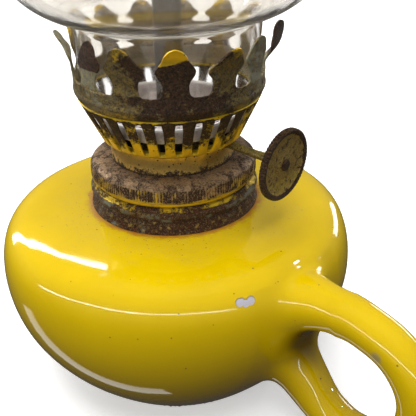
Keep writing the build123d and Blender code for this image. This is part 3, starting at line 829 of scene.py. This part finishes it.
class LAMP_OT_burner(bpy.types.Operator):
    """Model the screw ring with its knurled side, and the drum"""
    bl_idname = "lamp.burner"
    bl_label = "Burner Body"

    def execute(self, context):
        self.ring()
        self.drum()
        plain = metal_material("Inner Brass", (0.2, 0.4, 0.1))
        for node in ("burner_base_plate", "vent_tube", "spindle_bush"):
            dress(node, plain)
        return {"FINISHED"}

    def ring(self):
        """Screw ring with its skirt, knurled side and flat dome."""
        low = WASHER_TOP
        side_top = low + 4.8
        sheet = 0.8
        bore = 22.8
        inner = 20.0
        shelf = RING_R - 4.2
        outline = [(inner, low), (bore - sheet, low), (bore - sheet, SKIRT_LOW), (bore, SKIRT_LOW),
                   (bore, low), (RING_R - 0.9, low), (RING_R - 0.35, low + 0.08), (RING_R - 0.05, low + 0.45)]
        outline += [(RING_R, low + 0.7 + step * 0.33) for step in range(10)]
        outline += curve_points((RING_R, low + 3.9), (RING_R - 0.05, side_top + 0.3),
                                (RING_R - 1.3, DOME_Z - 0.3), (RING_R - 3.9, DOME_Z - 0.02), 14)
        outline += [(shelf - step * (shelf - DRUM_R) / 6, DOME_Z) for step in range(7)]
        outline += [(DRUM_R, DOME_Z - sheet), (RING_R - 2.8, DOME_Z - sheet),
                    (RING_R - sheet, side_top - 0.6), (RING_R - sheet, low + sheet), (inner, low + sheet)]
        bm = turned(outline, 720)
        ribs = 180
        for vertex in bm.verts:
            radius = math.hypot(vertex.co.x, vertex.co.y)
            if radius > RING_R - 0.4 and low + 0.6 < vertex.co.z < side_top + 0.2:
                angle = math.atan2(vertex.co.y, vertex.co.x)
                worn = 0.6 + 0.4 * waver(vertex.co, 7, 3.0) + 0.5 * waver(vertex.co, 1.2, 4.0)
                pull_in(vertex, 0.20 * worn * (1 - math.cos(ribs * angle)))
        dent(bm, 0.10, 4.0, 7.0, side_top, DOME_Z + 1)
        brass = metal_material("Ring Brass", grain=1.7, relief=0.5, sparks=0.8, colours={
            "Old Brass": (0.40, 0.255, 0.155), "Bright Brass": (0.62, 0.42, 0.04),
            "Dark Rust": (0.030, 0.017, 0.010)})
        piece = finish_piece("knurled_screw_ring", bm, "burner", brass, ("burner_screw_ring",),
                             BURNER_TURN, 60)

        def rule(co):
            height = co.z - low
            if height < 1.0:
                return 0.95, 0.36 + waver(co, 6, 2.0) * 0.5, 0.08
            if height < 4.6:
                crest = math.cos(ribs * (math.atan2(co.y, co.x) - BURNER_TURN))
                rust = 0.60 + waver(co, 2.4, 8.0) * 0.6 - crest * 0.18
                return 0.40 + waver(co, 9, 5.0) * 0.5 + crest * 0.2, rust, 0.10
            return 0.08, 0.44 + waver(co, 3.5, 3.0) * 0.3, 0.14 + waver(co, 10, 6.0) * 0.3
        paint(piece, rule)

    def drum(self):
        """Drum between the ring and the basket, with the spindle's hole."""
        wall = DRUM_R - 0.6
        outline = [(wall, DRUM_LOW), (DRUM_R, DRUM_LOW), (DRUM_R, DOME_Z + 0.2), (DRUM_R - 0.1, DOME_Z + 0.8),
                   (DRUM_R - 0.12, DRUM_TOP - 2.4), (DRUM_R, DRUM_TOP - 0.9), (DRUM_R + 0.5, DRUM_TOP - 0.25),
                   (DRUM_R + 0.6, DRUM_TOP), (wall, DRUM_TOP)]
        bm = turned(outline, 128, 0.06)
        rotate(bm, Matrix.Rotation(BURNER_TURN, 3, "Z"))
        drill = bmesh.new()
        add_rod(drill, 1.7, 30, 32)
        rotate(drill, SPINDLE_TILT)
        bmesh.ops.translate(drill, verts=drill.verts, vec=SPINDLE_POINT + SPINDLE_OUT * 25)
        brass = metal_material("Drum Brass", grain=1.1, relief=0.10, pitting=0.4, metal=0.92, mottle=0.1,
                               colours={
            "Old Brass": (0.80, 0.52, 0.14), "Bright Brass": (0.95, 0.66, 0.12)})
        piece = finish_piece("burner_drum_wall", cut_away(bm, drill), "burner", brass, ("burner_drum",))

        def rule(co):
            bright = 0.34 + waver(co, 12, 3.0) * 0.2 + max(0, co.z - DRUM_TOP + 1.4) * 0.3
            return bright, 0.10 + max(0, DOME_Z + 2.2 - co.z) * 0.34, 0.04
        paint(piece, rule)


# ---- slotted basket ---------------------------------------------------------------------
def basket_radius(z):
    """Outer radius of the flared wall at a height."""
    share = (z - DRUM_TOP) / (LEDGE_Z - 0.6 - DRUM_TOP)
    return BASKET_FOOT + (BASKET_R - BASKET_FOOT) * share


class LAMP_OT_basket(bpy.types.Operator):
    """Model the slotted basket with its rolled bead, and the pan inside it"""
    bl_idname = "lamp.basket"
    bl_label = "Air Basket and Pan"

    def execute(self, context):
        gallery = context.scene.lamp_gallery
        bm = self.slotted_wall(gallery.slots)
        bmesh.ops.solidify(bm, geom=bm.faces, thickness=gallery.sheet)
        bmesh.ops.recalc_face_normals(bm, faces=bm.faces)
        soften(bm, 0.12, 50)
        join_mesh(bm, self.bead())
        join_mesh(bm, self.rim())
        brass = metal_material("Basket Brass", relief=0.35)
        piece = finish_piece("slotted_basket", bm, "burner", brass, ("air_basket",),
                             BURNER_TURN, 45)

        def rule(co):
            share = (co.z - DRUM_TOP) / (LEDGE_Z - DRUM_TOP)
            patch = waver(co, 7, 2.0)
            if share < 0.10:
                return 1.0, 0.12, 0.0
            if share > 0.93:
                return 0.9, 0.35 + patch * 0.4, 0.0
            return 0.95, 0.10 + 0.95 * share + patch * 0.5, 0.03
        paint(piece, rule)
        self.pan()
        return {"FINISHED"}

    def slotted_wall(self, slots):
        """Sheet with a ring of upright slots: one slot and its frame, repeated flat and then rolled up."""
        pitch = math.tau / slots
        low, high = DRUM_TOP + 0.75, LEDGE_Z - 0.6
        slot_low, slot_high = DRUM_TOP + 1.1, high - 1.2
        middle = (slot_low + slot_high) / 2
        tall = (slot_high - slot_low) / 2
        half_slot = 1.15 / 26.0
        bm = bmesh.new()
        bmesh.ops.create_circle(bm, segments=24, radius=1.0)
        for vertex in bm.verts:
            across, up = vertex.co.x, vertex.co.y
            square = max(abs(across), abs(up))
            across, up = across / square, up / square
            narrow = 0.75 + 0.25 * min(1.0, (1 - abs(up)) * 9) if abs(up) > 0.85 else 1.0
            vertex.co = (across * half_slot * narrow, 0, middle + up * tall)
        border = bmesh.ops.extrude_edge_only(bm, edges=list(bm.edges))["geom"]
        for vertex in only(bmesh.types.BMVert, border):
            across = vertex.co.x / half_slot
            up = (vertex.co.z - middle) / tall
            vertex.co.x = max(-1, min(1, across * (1.34 if abs(up) > 0.85 else 1))) * pitch / 2
            vertex.co.z = high if up > 0.97 else low if up < -0.97 else middle + up * tall
        sector = bm.faces[:] + bm.verts[:] + bm.edges[:]
        for turn in range(1, slots):
            copy = bmesh.ops.duplicate(bm, geom=sector)["geom"]
            bmesh.ops.translate(bm, verts=only(bmesh.types.BMVert, copy), vec=(pitch * turn, 0, 0))
        for vertex in bm.verts:
            angle = vertex.co.x + pitch / 2
            radius = basket_radius(vertex.co.z)
            vertex.co = (radius * math.cos(angle), radius * math.sin(angle), vertex.co.z)
        bmesh.ops.remove_doubles(bm, verts=bm.verts, dist=0.02)
        bmesh.ops.recalc_face_normals(bm, faces=bm.faces)
        tall_edges = [e for e in bm.edges if e.calc_length() > 2.5]
        bmesh.ops.subdivide_edges(bm, edges=tall_edges, cuts=3, use_grid_fill=True)
        return bm

    def bead(self):
        """Rolled bead at the basket's foot, with the ring that sits on the drum."""
        inner = DRUM_R - 1.6
        outline = [(inner, DRUM_TOP + 0.02), (BASKET_FOOT - 0.3, DRUM_TOP + 0.02)]
        outline += corner(BASKET_FOOT - 0.05, DRUM_TOP + 0.75, 0.74, -80, 80, 9)
        outline += [(BASKET_FOOT - 0.6, DRUM_TOP + 1.35), (BASKET_FOOT - 0.7, DRUM_TOP + 0.62),
                    (inner, DRUM_TOP + 0.62)]
        return turned(outline, 160)

    def rim(self):
        """Ledge that the chimney stands on."""
        top, inner = LEDGE_Z, BASKET_R - 1.7
        outline = [(inner, top - 0.6), (BASKET_R - 0.75, top - 0.62), (BASKET_R - 0.1, top - 0.8),
                   (BASKET_R, top - 0.55), (BASKET_R - 0.05, top - 0.1), (BASKET_R - 0.3, top), (inner, top)]
        return turned(outline, 160, 0.08)

    def pan(self):
        """Perforated pan with a curled rim and an opening for the wick tube."""
        wall = 0.5
        floor = PAN_LOW
        outline = [(0, floor), (PAN_R - 1.0, floor), (PAN_R - 0.3, floor + 0.25), (PAN_R, floor + 0.9),
                   (PAN_R, PAN_TOP - 0.7)]
        outline += corner(PAN_R - 0.36, PAN_TOP - 0.4, 0.36, 0, 180, 6)
        outline += [(PAN_R - wall - 0.2, PAN_TOP - 0.7), (PAN_R - wall, floor + 1.0),
                    (PAN_R - wall - 0.4, floor + wall), (0, floor + wall)]
        holes = bmesh.new()
        pitch, spacing = 2.3, 2.5
        tube_x, tube_y = 7.2, 3.4
        for row in range(1, 9):
            radius = row * pitch + 3.0
            count = int(math.tau * radius / spacing)
            for step in range(count):
                angle = math.tau * step / count
                x, y = radius * math.cos(angle), radius * math.sin(angle)
                if abs(x) < tube_x and abs(y) < tube_y or radius > PAN_R - 2.2:
                    continue
                bmesh.ops.translate(holes, verts=add_rod(holes, 0.55, 3, 8), vec=(x, y, floor + 0.2))
        opening = add_rod(holes, 2.2, 3, 48)
        for vertex in opening:
            vertex.co.x += 4.0 if vertex.co.x > 0 else -4.0
        bmesh.ops.translate(holes, verts=opening, vec=(0, 0, floor + 0.2))
        finish_piece("perforated_pan", cut_away(turned(outline, 128), holes), "burner", pan_material(),
                     ("diffuser_pan",), BURNER_TURN, 40)


# ---- pronged gallery --------------------------------------------------------------------
def prong_half_width(rise, neck, head, length):
    """Half of a prong's width at a rise above the gaps."""
    neck, head = neck / 2, head / 2
    marks = [(0.0, neck), (2.2, neck), (4.0, neck + 0.05), (5.3, neck + 0.5), (7.0, head - 0.4), (8.5, head),
             (10.3, head - 1.4), (11.2, head - 2.2), (12.9, head - 2.95), (14.0, head - 3.75),
             (14.6, head - 4.6), (14.95, head - 5.3), (length, 0.0)]
    for (low, wide), (high, narrow) in zip(marks, marks[1:]):
        if rise <= high:
            share = (rise - low) / (high - low)
            return wide + (narrow - wide) * share
    return 0.0


# each prong one by one: lean outwards and sway to its left at the tip in mm, twist, and share of its length
# kept
PRONG_BENDS = (
    (1.6, 0.8, 0.0, 0.92), (4.4, 3.6, -1.4, 1.0), (3.4, 0.6, -0.4, 0.98), (2.9, -0.3, 0.2, 1.0),
    (3.5, 0.5, 0.5, 0.97), (3.2, -0.6, -0.3, 1.0), (3.4, 0.2, 0.2, 1.0), (3.0, -0.4, 0.0, 1.0),
    (4.3, 0.6, -0.3, 0.96), (-0.3, 0.2, 1.6, 0.98), (3.0, 0.5, -0.3, 1.0), (3.1, 0.2, 0.0, 1.0),
    (3.6, -0.6, 2.2, 0.88),
)
STEPPED_PRONG = 1
# patina of the prongs that aren't plain olive, with the share of the height where it starts
PRONG_TONES = {11: ("tip", 0.74), 10: ("patch", 0.78), 12: ("olive", 0.6), 0: ("pale", 0.75),
               1: ("red", 0.30), 9: ("red", 0.40), 8: ("pale", 0.7)}


class LAMP_OT_gallery(bpy.types.Operator):
    """Model the curled band and its ring of hand-bent prongs"""
    bl_idname = "lamp.gallery"
    bl_label = "Pronged Gallery"

    def execute(self, context):
        gallery = context.scene.lamp_gallery
        sector = math.tau / gallery.prongs
        gap_z = GALLERY_LOW + PRONG_RISE
        length = PRONG_TOP - gap_z
        fillet = 2.2
        rises = [-PRONG_RISE, -7.15, -6.8, -6.3, -5.7, -5.0, -4.2, -3.4, -2.6, -1.9, -1.2, -0.6, -0.2, 0.0,
                 0.12, 0.45, 0.9, 1.5, fillet]
        rises += [fillet + step * 0.6 for step in range(1, 20)]
        rises += [length - 1.1, length - 0.6, length - 0.25, length - 0.05]
        rises = sorted(set(rise for rise in rises if rise < length))
        last = len(rises) - 1
        bm = bmesh.new()
        for turn in range(gallery.prongs):
            sheet = bmesh.ops.create_grid(bm, x_segments=14, y_segments=last, size=1.0)["verts"]
            for vertex in sheet:
                rise = rises[round((vertex.co.y + 1) / 2 * last)]
                if rise < 0.05:
                    half = GALLERY_BAND * sector / 2
                elif rise < fillet:
                    reach = fillet - math.sqrt(max(0.0, fillet ** 2 - (fillet - rise) ** 2))
                    half = gallery.neck / 2 + reach
                else:
                    half = prong_half_width(rise, gallery.neck, gallery.head, length)
                half *= 1 + 0.05 * math.sin(turn * 2.7) * within_one(rise / 6)
                vertex.co = self.place(half * vertex.co.x, rise, turn, sector, gap_z, length)
        bmesh.ops.remove_doubles(bm, verts=bm.verts, dist=0.03)
        bmesh.ops.dissolve_degenerate(bm, edges=bm.edges, dist=0.01)
        bmesh.ops.recalc_face_normals(bm, faces=bm.faces)
        bmesh.ops.solidify(bm, geom=bm.faces, thickness=gallery.sheet)
        bmesh.ops.recalc_face_normals(bm, faces=bm.faces)
        soften(bm, 0.13, 55)
        brass = metal_material("Gallery Brass", grain=0.9, colours={
            "Old Brass": (0.215, 0.165, 0.085), "Bright Brass": (0.86, 0.56, 0.03)})
        piece = finish_piece("crown_gallery", bm, "burner", brass, ("prong_gallery",),
                             BURNER_TURN, 45)
        paint(piece, self.rule(gap_z, length, sector))
        return {"FINISHED"}

    def place(self, across, rise, turn, sector, gap_z, length):
        """Bend a flat point of the sheet round the lamp, with each prong's own lean and twist."""
        share = max(0.0, rise) / length
        lean, twist, sway, shorten = PRONG_BENDS[turn % len(PRONG_BENDS)]
        rise = rise * (1 - (1 - shorten) * share)
        angle = GALLERY_TURN + sector * (turn + 0.5) + (across + sway * share ** 2) / GALLERY_BAND
        out = lean * share ** 2.1 + twist * share * across / 6 + 0.12 * math.sin(9 * angle + rise)
        if turn == STEPPED_PRONG:
            step = within_one((rise - 1.5) / 7.0)
            out = lean * step * step * (3 - 2 * step) + twist * share * across / 6
        if rise < -4.6:
            drop = (-4.6 - rise) / 2.7
            out = -1.25 * drop ** 2.0
        elif rise < 0:
            out = 0.10 * math.sin(7 * angle)
        # a small bead runs round the band
        out += 0.42 * math.exp(-((rise + 4.5) / 0.5) ** 2)
        point = GALLERY_BAND + out
        return Vector((point * math.cos(angle), point * math.sin(angle), gap_z + rise))

    def rule(self, gap_z, length, sector):
        """Patina of the band and of each prong."""
        def tone_at(co):
            rise = (co.z - gap_z) / length
            turn = (math.atan2(co.y, co.x) - BURNER_TURN - GALLERY_TURN) % math.tau / sector
            which = int(turn)
            across = turn - which - 0.5
            patch = waver(co, 5, 3.0)
            if rise < 0.04:
                # the band is darkest under the two front prongs, and paler brass to both sides
                front = max(0.0, 1 - abs((turn - 11.6 + 6.5) % 13 - 6.5) / 1.9)
                green = 0.42 - 0.25 * front + waver(co, 9, 8.0) * 0.4
                return 0.16 + patch * 0.2, 0.24 + 0.62 * front + patch * 0.35, green
            kind, start = PRONG_TONES.get(which, ("olive", 0.6))
            if kind == "tip":
                edge = start + patch * 0.07 + across * 0.12
                cap = within_one((rise - edge) / 0.12 + 0.5)
                return 0.24 + 1.1 * cap, (0.66 + 0.3 * rise) * (1 - cap) + 0.06 * cap, 0.02
            if kind == "patch":
                if rise - start - across * 0.6 > 0:
                    return 0.42 + patch * 0.6, 0.34 + patch * 0.5, 0.0
                return 0.10, 0.22 + max(0.0, rise - 0.35 + across * 1.5) * 0.9 + patch * 0.4, 0.03
            if kind == "red":
                return (0.12, 0.90, 0.02) if rise > start + patch * 0.1 else (0.30, 0.16, 0.62)
            if kind == "pale":
                return 0.10 + max(0.0, rise - 0.8), 0.20 + patch * 0.4 + max(0, rise - start), 0.55
            edge = max(0.0, rise - 0.72 + across * 0.5)
            return 0.12 + patch * 0.2 + edge * 2.4, 0.30 + patch * 0.5 + max(0.0, 0.4 - rise) * 0.9, 0.25
        return tone_at


# ---- wick, tube and raiser --------------------------------------------------------------
class LAMP_OT_wick(bpy.types.Operator):
    """Dress the wick tube and the raiser's inner parts, and weave the wick"""
    bl_idname = "lamp.wick"
    bl_label = "Wick and Tube"

    def execute(self, context):
        steel = metal_material("Old Tube", (0.05, 0.35, 0.03), grain=0.8, relief=0.2, colours={
            "Old Brass": (0.06, 0.052, 0.044), "Bright Brass": (0.20, 0.16, 0.09)})
        for node in ("wick_tube", "raiser_housing", "drive_sprocket_inner", "drive_sprocket_outer"):
            dress(node, steel)
        thickness, straight, rows = 2.3, 4.2, 90
        bm = bmesh.new()
        bmesh.ops.create_circle(bm, cap_ends=True, segments=40, radius=thickness / 2)
        for vertex in bm.verts:
            vertex.co.x += straight if vertex.co.x > 0 else -straight if vertex.co.x < 0 else 0
            vertex.co.z = WICK_LOW + 0.02
        face = bm.faces[:]
        rise = (WICK_HIGH - WICK_LOW - 0.1) / rows
        for _ in range(rows):
            made = bmesh.ops.extrude_face_region(bm, geom=face)["geom"]
            bmesh.ops.delete(bm, geom=face, context="FACES_ONLY")
            bmesh.ops.translate(bm, verts=only(bmesh.types.BMVert, made), vec=(0, 0, rise))
            face = only(bmesh.types.BMFace, made)
        for vertex in bm.verts:
            if vertex.co.z > WICK_HIGH - 1.0:
                frayed = 0.45 * (0.5 + 0.5 * waver(vertex.co * 3, 1.7, 2.0))
                vertex.co.z -= frayed * (vertex.co.z > WICK_HIGH - 0.5)
            vertex.co.y *= 1 - 0.06 * (0.5 + 0.5 * math.cos(vertex.co.z * 4.2))
        bmesh.ops.recalc_face_normals(bm, faces=bm.faces)
        finish_piece("woven_wick", bm, "wick", cotton_material(), ("wick",), BURNER_TURN, 60)
        return {"FINISHED"}


class LAMP_OT_raiser(bpy.types.Operator):
    """Model the thumbwheel, and dress its rivet and the spindle"""
    bl_idname = "lamp.raiser"
    bl_label = "Thumbwheel"

    def execute(self, context):
        dress("raiser_spindle", metal_material("Spindle Brass", (0.28, 0.30, 0.12), relief=0.12))
        dress("thumbwheel_rivet", metal_material("Rivet Brass", (0.15, 0.85, 0.05)))
        radius, half, rim_in, hole = 11.85, 1.08, 10.35, 1.36
        outline = [(hole, -0.45), (3.1, -0.55), (3.2, -0.98), (3.6, -0.9), (3.8, -0.5), (9.9, -0.42),
                   (rim_in, -0.95)]
        outline += [(rim_in + 0.3, -half), (radius - 0.35, -half), (radius - 0.05, -half + 0.3),
                    (radius, 0.0),
                    (radius - 0.05, half - 0.3), (radius - 0.4, half), (rim_in + 0.25, half - 0.05),
                    (rim_in - 0.05, 0.85), (rim_in - 0.5, 0.52)]
        for step in range(1, 9):
            outline.append((rim_in - 0.5 - step * 0.75,
                            0.52 - 0.30 * math.sin(math.pi * (step / 9)) - 0.02 * step))
        outline += [(3.3, 0.40), (2.6, 0.50), (hole, 0.46)]
        bm = turned(outline, 360)
        notches = 60
        for vertex in bm.verts:
            reach = math.hypot(vertex.co.x, vertex.co.y)
            if reach > radius - 0.45:
                angle = math.atan2(vertex.co.y, vertex.co.x)
                worn = 0.75 + 0.4 * waver(vertex.co, 4, 5.0)
                pull_in(vertex, 0.42 * max(0.0, math.cos(notches * angle)) ** 2 * worn)
            share = (reach / radius) ** 2
            vertex.co.z += 0.06 * waver(vertex.co, 3.2, 8.0) * (1 - 0.4 * share) * (reach > 3.4)
        low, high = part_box("thumbwheel")
        centre = (low + high) / 2 / MM
        bmesh.ops.recalc_face_normals(bm, faces=bm.faces)
        rotate(bm, SPINDLE_TILT)
        bmesh.ops.translate(bm, verts=bm.verts, vec=centre)
        brass = metal_material("Wheel Brass", grain=1.6, relief=0.35, pitting=0.08, colours={
            "Old Brass": (0.50, 0.34, 0.105), "Bright Brass": (0.68, 0.49, 0.10)})
        piece = finish_piece("notched_thumbwheel", bm, "raiser", brass, ("thumbwheel",), 0.0,
                             40)

        def rule(co):
            offset = co - centre
            along = offset.dot(SPINDLE_OUT)
            reach = (offset - SPINDLE_OUT * along).length
            if reach > rim_in - 0.2 or along < 0:
                return 0.10, 0.90, 0.02
            return 0.30 + (0.25 if offset.z < -5 else 0), 0.36 + waver(co, 1.3, 3.0) * 0.35, 0.14
        paint(piece, rule)
        return {"FINISHED"}


# ---- chimney ----------------------------------------------------------------------------
class LAMP_OT_chimney(bpy.types.Operator):
    """Blow the clear glass chimney"""
    bl_idname = "lamp.chimney"
    bl_label = "Glass Chimney"

    def side(self, inset):
        """Side of the glass from its foot through the bend and the bulb to the top of the stack."""
        base = CHIMNEY_FOOT - inset
        bend = 3.2 + inset
        base_z = CHIMNEY_LOW + 21.6
        run = [(base, CHIMNEY_LOW + 0.8), (base, CHIMNEY_LOW + 8), (base, CHIMNEY_LOW + 15), (base, base_z)]
        for step in range(1, 13):
            part = math.radians(74) * step / 12
            run.append((base + bend * (1 - math.cos(part)), base_z + bend * math.sin(part)))
        end = run[-1]
        slope = math.radians(16)
        bulb = (BULB_R - inset, CHIMNEY_LOW + 52.6)
        run += curve_points(end, (end[0] + 13 * math.cos(slope), end[1] + 13 * math.sin(slope)),
                            (bulb[0], bulb[1] - 16), bulb, 30)
        stack = (CHIMNEY_STACK - inset, CHIMNEY_LOW + 108.6)
        run += curve_points(bulb, (bulb[0], bulb[1] + 26), (stack[0], stack[1] - 26), stack, 40)
        return run + [(stack[0], CHIMNEY_TOP - 20), (stack[0], CHIMNEY_TOP - 0.8)]

    def execute(self, context):
        glass = context.scene.lamp_glass
        half = glass.wall / 2
        outline = self.side(0)
        outline += corner(CHIMNEY_STACK - half, CHIMNEY_TOP - half, half, 0, 180, 8)
        outline += self.side(glass.wall)[::-1]
        outline += corner(CHIMNEY_FOOT - half, CHIMNEY_LOW + half, half, 180, 360, 8)
        chimney = finish_piece("blown_chimney", turned(outline, 160), "chimney", glass_material(glass),
                               ("chimney",), smooth=80)
        film = turned([(0, CHIMNEY_LOW)] + self.side(-0.06) + [(0, CHIMNEY_TOP)], 128)
        flat = [face for face in film.faces if abs(face.normal.z) > 0.9]
        caps = [face for face in flat if face.calc_center_median().to_2d().length < CHIMNEY_STACK - 0.2]
        bmesh.ops.delete(film, geom=caps, context="FACES")
        dust = finish_piece("chimney_dust", film, "chimney", dust_material(glass),
                            smooth=80)
        chimney.visible_shadow = dust.visible_shadow = False
        return {"FINISHED"}


# ---- stage ------------------------------------------------------------------------------
# name, directions from the lamp to the two ends, distance and width in m, power in W, shown in the gloss
SOFTBOXES = (
    ("top_softbox", (-0.42, -0.12, 1.0), (0.58, -0.12, 1.0), 1.1, 0.8, 12.2, False),
    ("front_softbox", (-0.30, -1.0, 0.30), (0.60, -0.85, 0.30), 1.3, 0.7, 3.0, False),
    ("left_strip_high", (-0.735, 0.230, 0.638), (-0.636, 0.352, 0.687), 1.2, 0.065, 0.65, True),
    ("left_strip_middle", (-0.870, -0.090, 0.485), (-0.735, 0.230, 0.638), 1.2, 0.13, 2.7, True),
    ("left_strip_low", (-0.987, -0.180, 0.0), (-0.870, -0.090, 0.485), 1.2, 0.12, 3.4, True),
    ("table_strip", (-0.76, -0.39, -0.55), (-0.06, -0.06, -0.99), 1.2, 0.19, 0.75, True),
    ("front_strip_left", (-0.65, -0.76, 0.02), (-0.09, -0.96, 0.26), 1.3, 0.03, 1.2, True),
    ("front_strip_middle", (-0.09, -0.96, 0.26), (0.44, -0.84, 0.30), 1.3, 0.03, 1.2, True),
    ("front_strip_right", (0.44, -0.84, 0.30), (0.97, -0.13, 0.20), 1.3, 0.03, 1.2, True),
    ("window", (-0.25, 1.0, 0.06), (0.15, 1.0, 0.10), 1.4, 0.25, 2.6, True),
    ("glint_high", (0.28, 0.67, 0.68), (0.32, 0.67, 0.68), 1.2, 0.06, 0.5, True),
    ("glint_low", (0.50, 0.83, 0.22), (0.54, 0.83, 0.22), 1.2, 0.06, 0.5, True),
)


def softbox(name, start, end, distance, width, power, glossy):
    """Rectangular light between two directions, facing the lamp."""
    aim = Vector((0, 0, 0.06))
    start = Vector(start).normalized() * distance
    end = Vector(end).normalized() * distance
    data = bpy.data.lights.new(name, "AREA")
    data.shape = "RECTANGLE"
    data.size, data.size_y = (end - start).length, width
    data.energy = power
    lamp = bpy.data.objects.new(name, data)
    bpy.context.scene.collection.objects.link(lamp)
    along = (end - start).normalized()
    back = (start + end).normalized()
    back = (back - along * back.dot(along)).normalized()
    lamp.matrix_world = placed(along, back.cross(along), back, aim + (start + end) / 2)
    lamp.visible_glossy = lamp.visible_transmission = glossy


def placed(right, up, back, point):
    """Matrix of an object with these axes at a point."""
    matrix = Matrix((right, up, back)).transposed().to_4x4()
    matrix.translation = point
    return matrix


class LAMP_OT_stage(bpy.types.Operator):
    """Lay the pale floor, hang the softboxes and set the camera"""
    bl_idname = "lamp.stage"
    bl_label = "Floor, Lights and Camera"

    def execute(self, context):
        stage = context.scene.lamp_stage
        self.floor(stage)
        self.world(context, stage)
        for name, start, end, distance, width, watts, glossy in SOFTBOXES:
            softbox(name, start, end, distance, width, watts * stage.light, glossy)
        data = bpy.data.cameras.new("camera")
        data.lens = stage.lens
        data.sensor_width = 36
        data.clip_start = 0.01
        camera = bpy.data.objects.new("camera", data)
        context.scene.collection.objects.link(camera)
        right = Vector((0.68912, 0.72441, -0.01824))
        up = Vector((-0.33562, 0.34137, 0.87795))
        back = -Vector((-0.64223, 0.59890, -0.47838))
        camera.matrix_world = placed(right, up, back, Vector((0.17067, -0.14321, 0.1792)))
        context.scene.camera = camera
        context.scene.view_settings.view_transform = "Standard"
        return {"FINISHED"}

    def floor(self, stage):
        """Pale floor that gives off a little light of its own and isn't seen in the gloss."""
        bm = bmesh.new()
        bmesh.ops.create_grid(bm, x_segments=2, y_segments=2, size=6.0)
        floor = linked_object("floor", bm)
        material, _, shader = blank_material("Pale Floor")
        feed(shader, {"Base Color": (*stage.floor, 1), "Roughness": 0.7, "Emission Color": (*stage.floor, 1),
                      "Emission Strength": stage.floor_glow})
        floor.data.materials.append(material)
        floor.visible_glossy = floor.visible_diffuse = False

    def world(self, context, stage):
        """Sky that darkens below the horizon, with a brighter backdrop behind the lamp and its glass."""
        world = bpy.data.worlds.new("Studio")
        context.scene.world = world
        world.use_nodes = True
        tree = world.node_tree
        rays = add_node(tree, "ShaderNodeLightPath").outputs
        direct = maths(tree, "LESS_THAN", rays["Glossy Depth"], 0.5)
        seen = highest(tree, rays["Is Camera Ray"], times(tree, rays["Is Transmission Ray"], direct))
        way = add_node(tree, "ShaderNodeTexCoord").outputs["Generated"]
        dome = smooth_range(tree, split_axes(tree, way)[2], -0.35, 0.25, stage.sky * 0.22, stage.sky)
        feed(tree.nodes["Background"], {"Color": (0.95, 0.97, 1.0, 1),
                                        "Strength": scaled(tree, seen, stage.glass_sky, dome)})


class LAMP_PT_panel(bpy.types.Panel):
    """List the lamp's pieces in the sidebar"""
    bl_idname = "LAMP_PT_panel"
    bl_label = "Hand Oil Lamp"
    bl_space_type = "VIEW_3D"
    bl_region_type = "UI"
    bl_category = "Lamp"

    def draw(self, context):
        for operator in OPERATORS:
            self.layout.operator(operator.bl_idname)
        for name, _ in SETTINGS:
            box = self.layout.box()
            group = getattr(context.scene, name)
            for key in group.bl_rna.properties.keys():
                if key not in {"rna_type", "name"}:
                    box.prop(group, key)


OPERATORS = (LAMP_OT_font, LAMP_OT_collar, LAMP_OT_burner, LAMP_OT_basket, LAMP_OT_gallery, LAMP_OT_wick,
             LAMP_OT_raiser, LAMP_OT_chimney, LAMP_OT_stage)
SETTINGS = (("lamp_glaze", LampGlazeSettings), ("lamp_metal", LampMetalSettings),
            ("lamp_gallery", LampGallerySettings), ("lamp_glass", LampGlassSettings),
            ("lamp_stage", LampStageSettings))


def register():
    for name, group in SETTINGS:
        bpy.utils.register_class(group)
        setattr(bpy.types.Scene, name, PointerProperty(type=group))
    for operator in OPERATORS:
        bpy.utils.register_class(operator)
    bpy.utils.register_class(LAMP_PT_panel)


def unregister():
    bpy.utils.unregister_class(LAMP_PT_panel)
    for operator in reversed(OPERATORS):
        bpy.utils.unregister_class(operator)
    for name, group in reversed(SETTINGS):
        delattr(bpy.types.Scene, name)
        bpy.utils.unregister_class(group)


def main():
    register()
    pits_group()
    aged_metal_group(bpy.context.scene.lamp_metal)
    bpy.ops.lamp.stage()
    bpy.ops.lamp.font()
    bpy.ops.lamp.collar()
    bpy.ops.lamp.burner()
    bpy.ops.lamp.basket()
    bpy.ops.lamp.gallery()
    bpy.ops.lamp.wick()
    bpy.ops.lamp.raiser()
    bpy.ops.lamp.chimney()


if __name__ == "__main__":
    main()
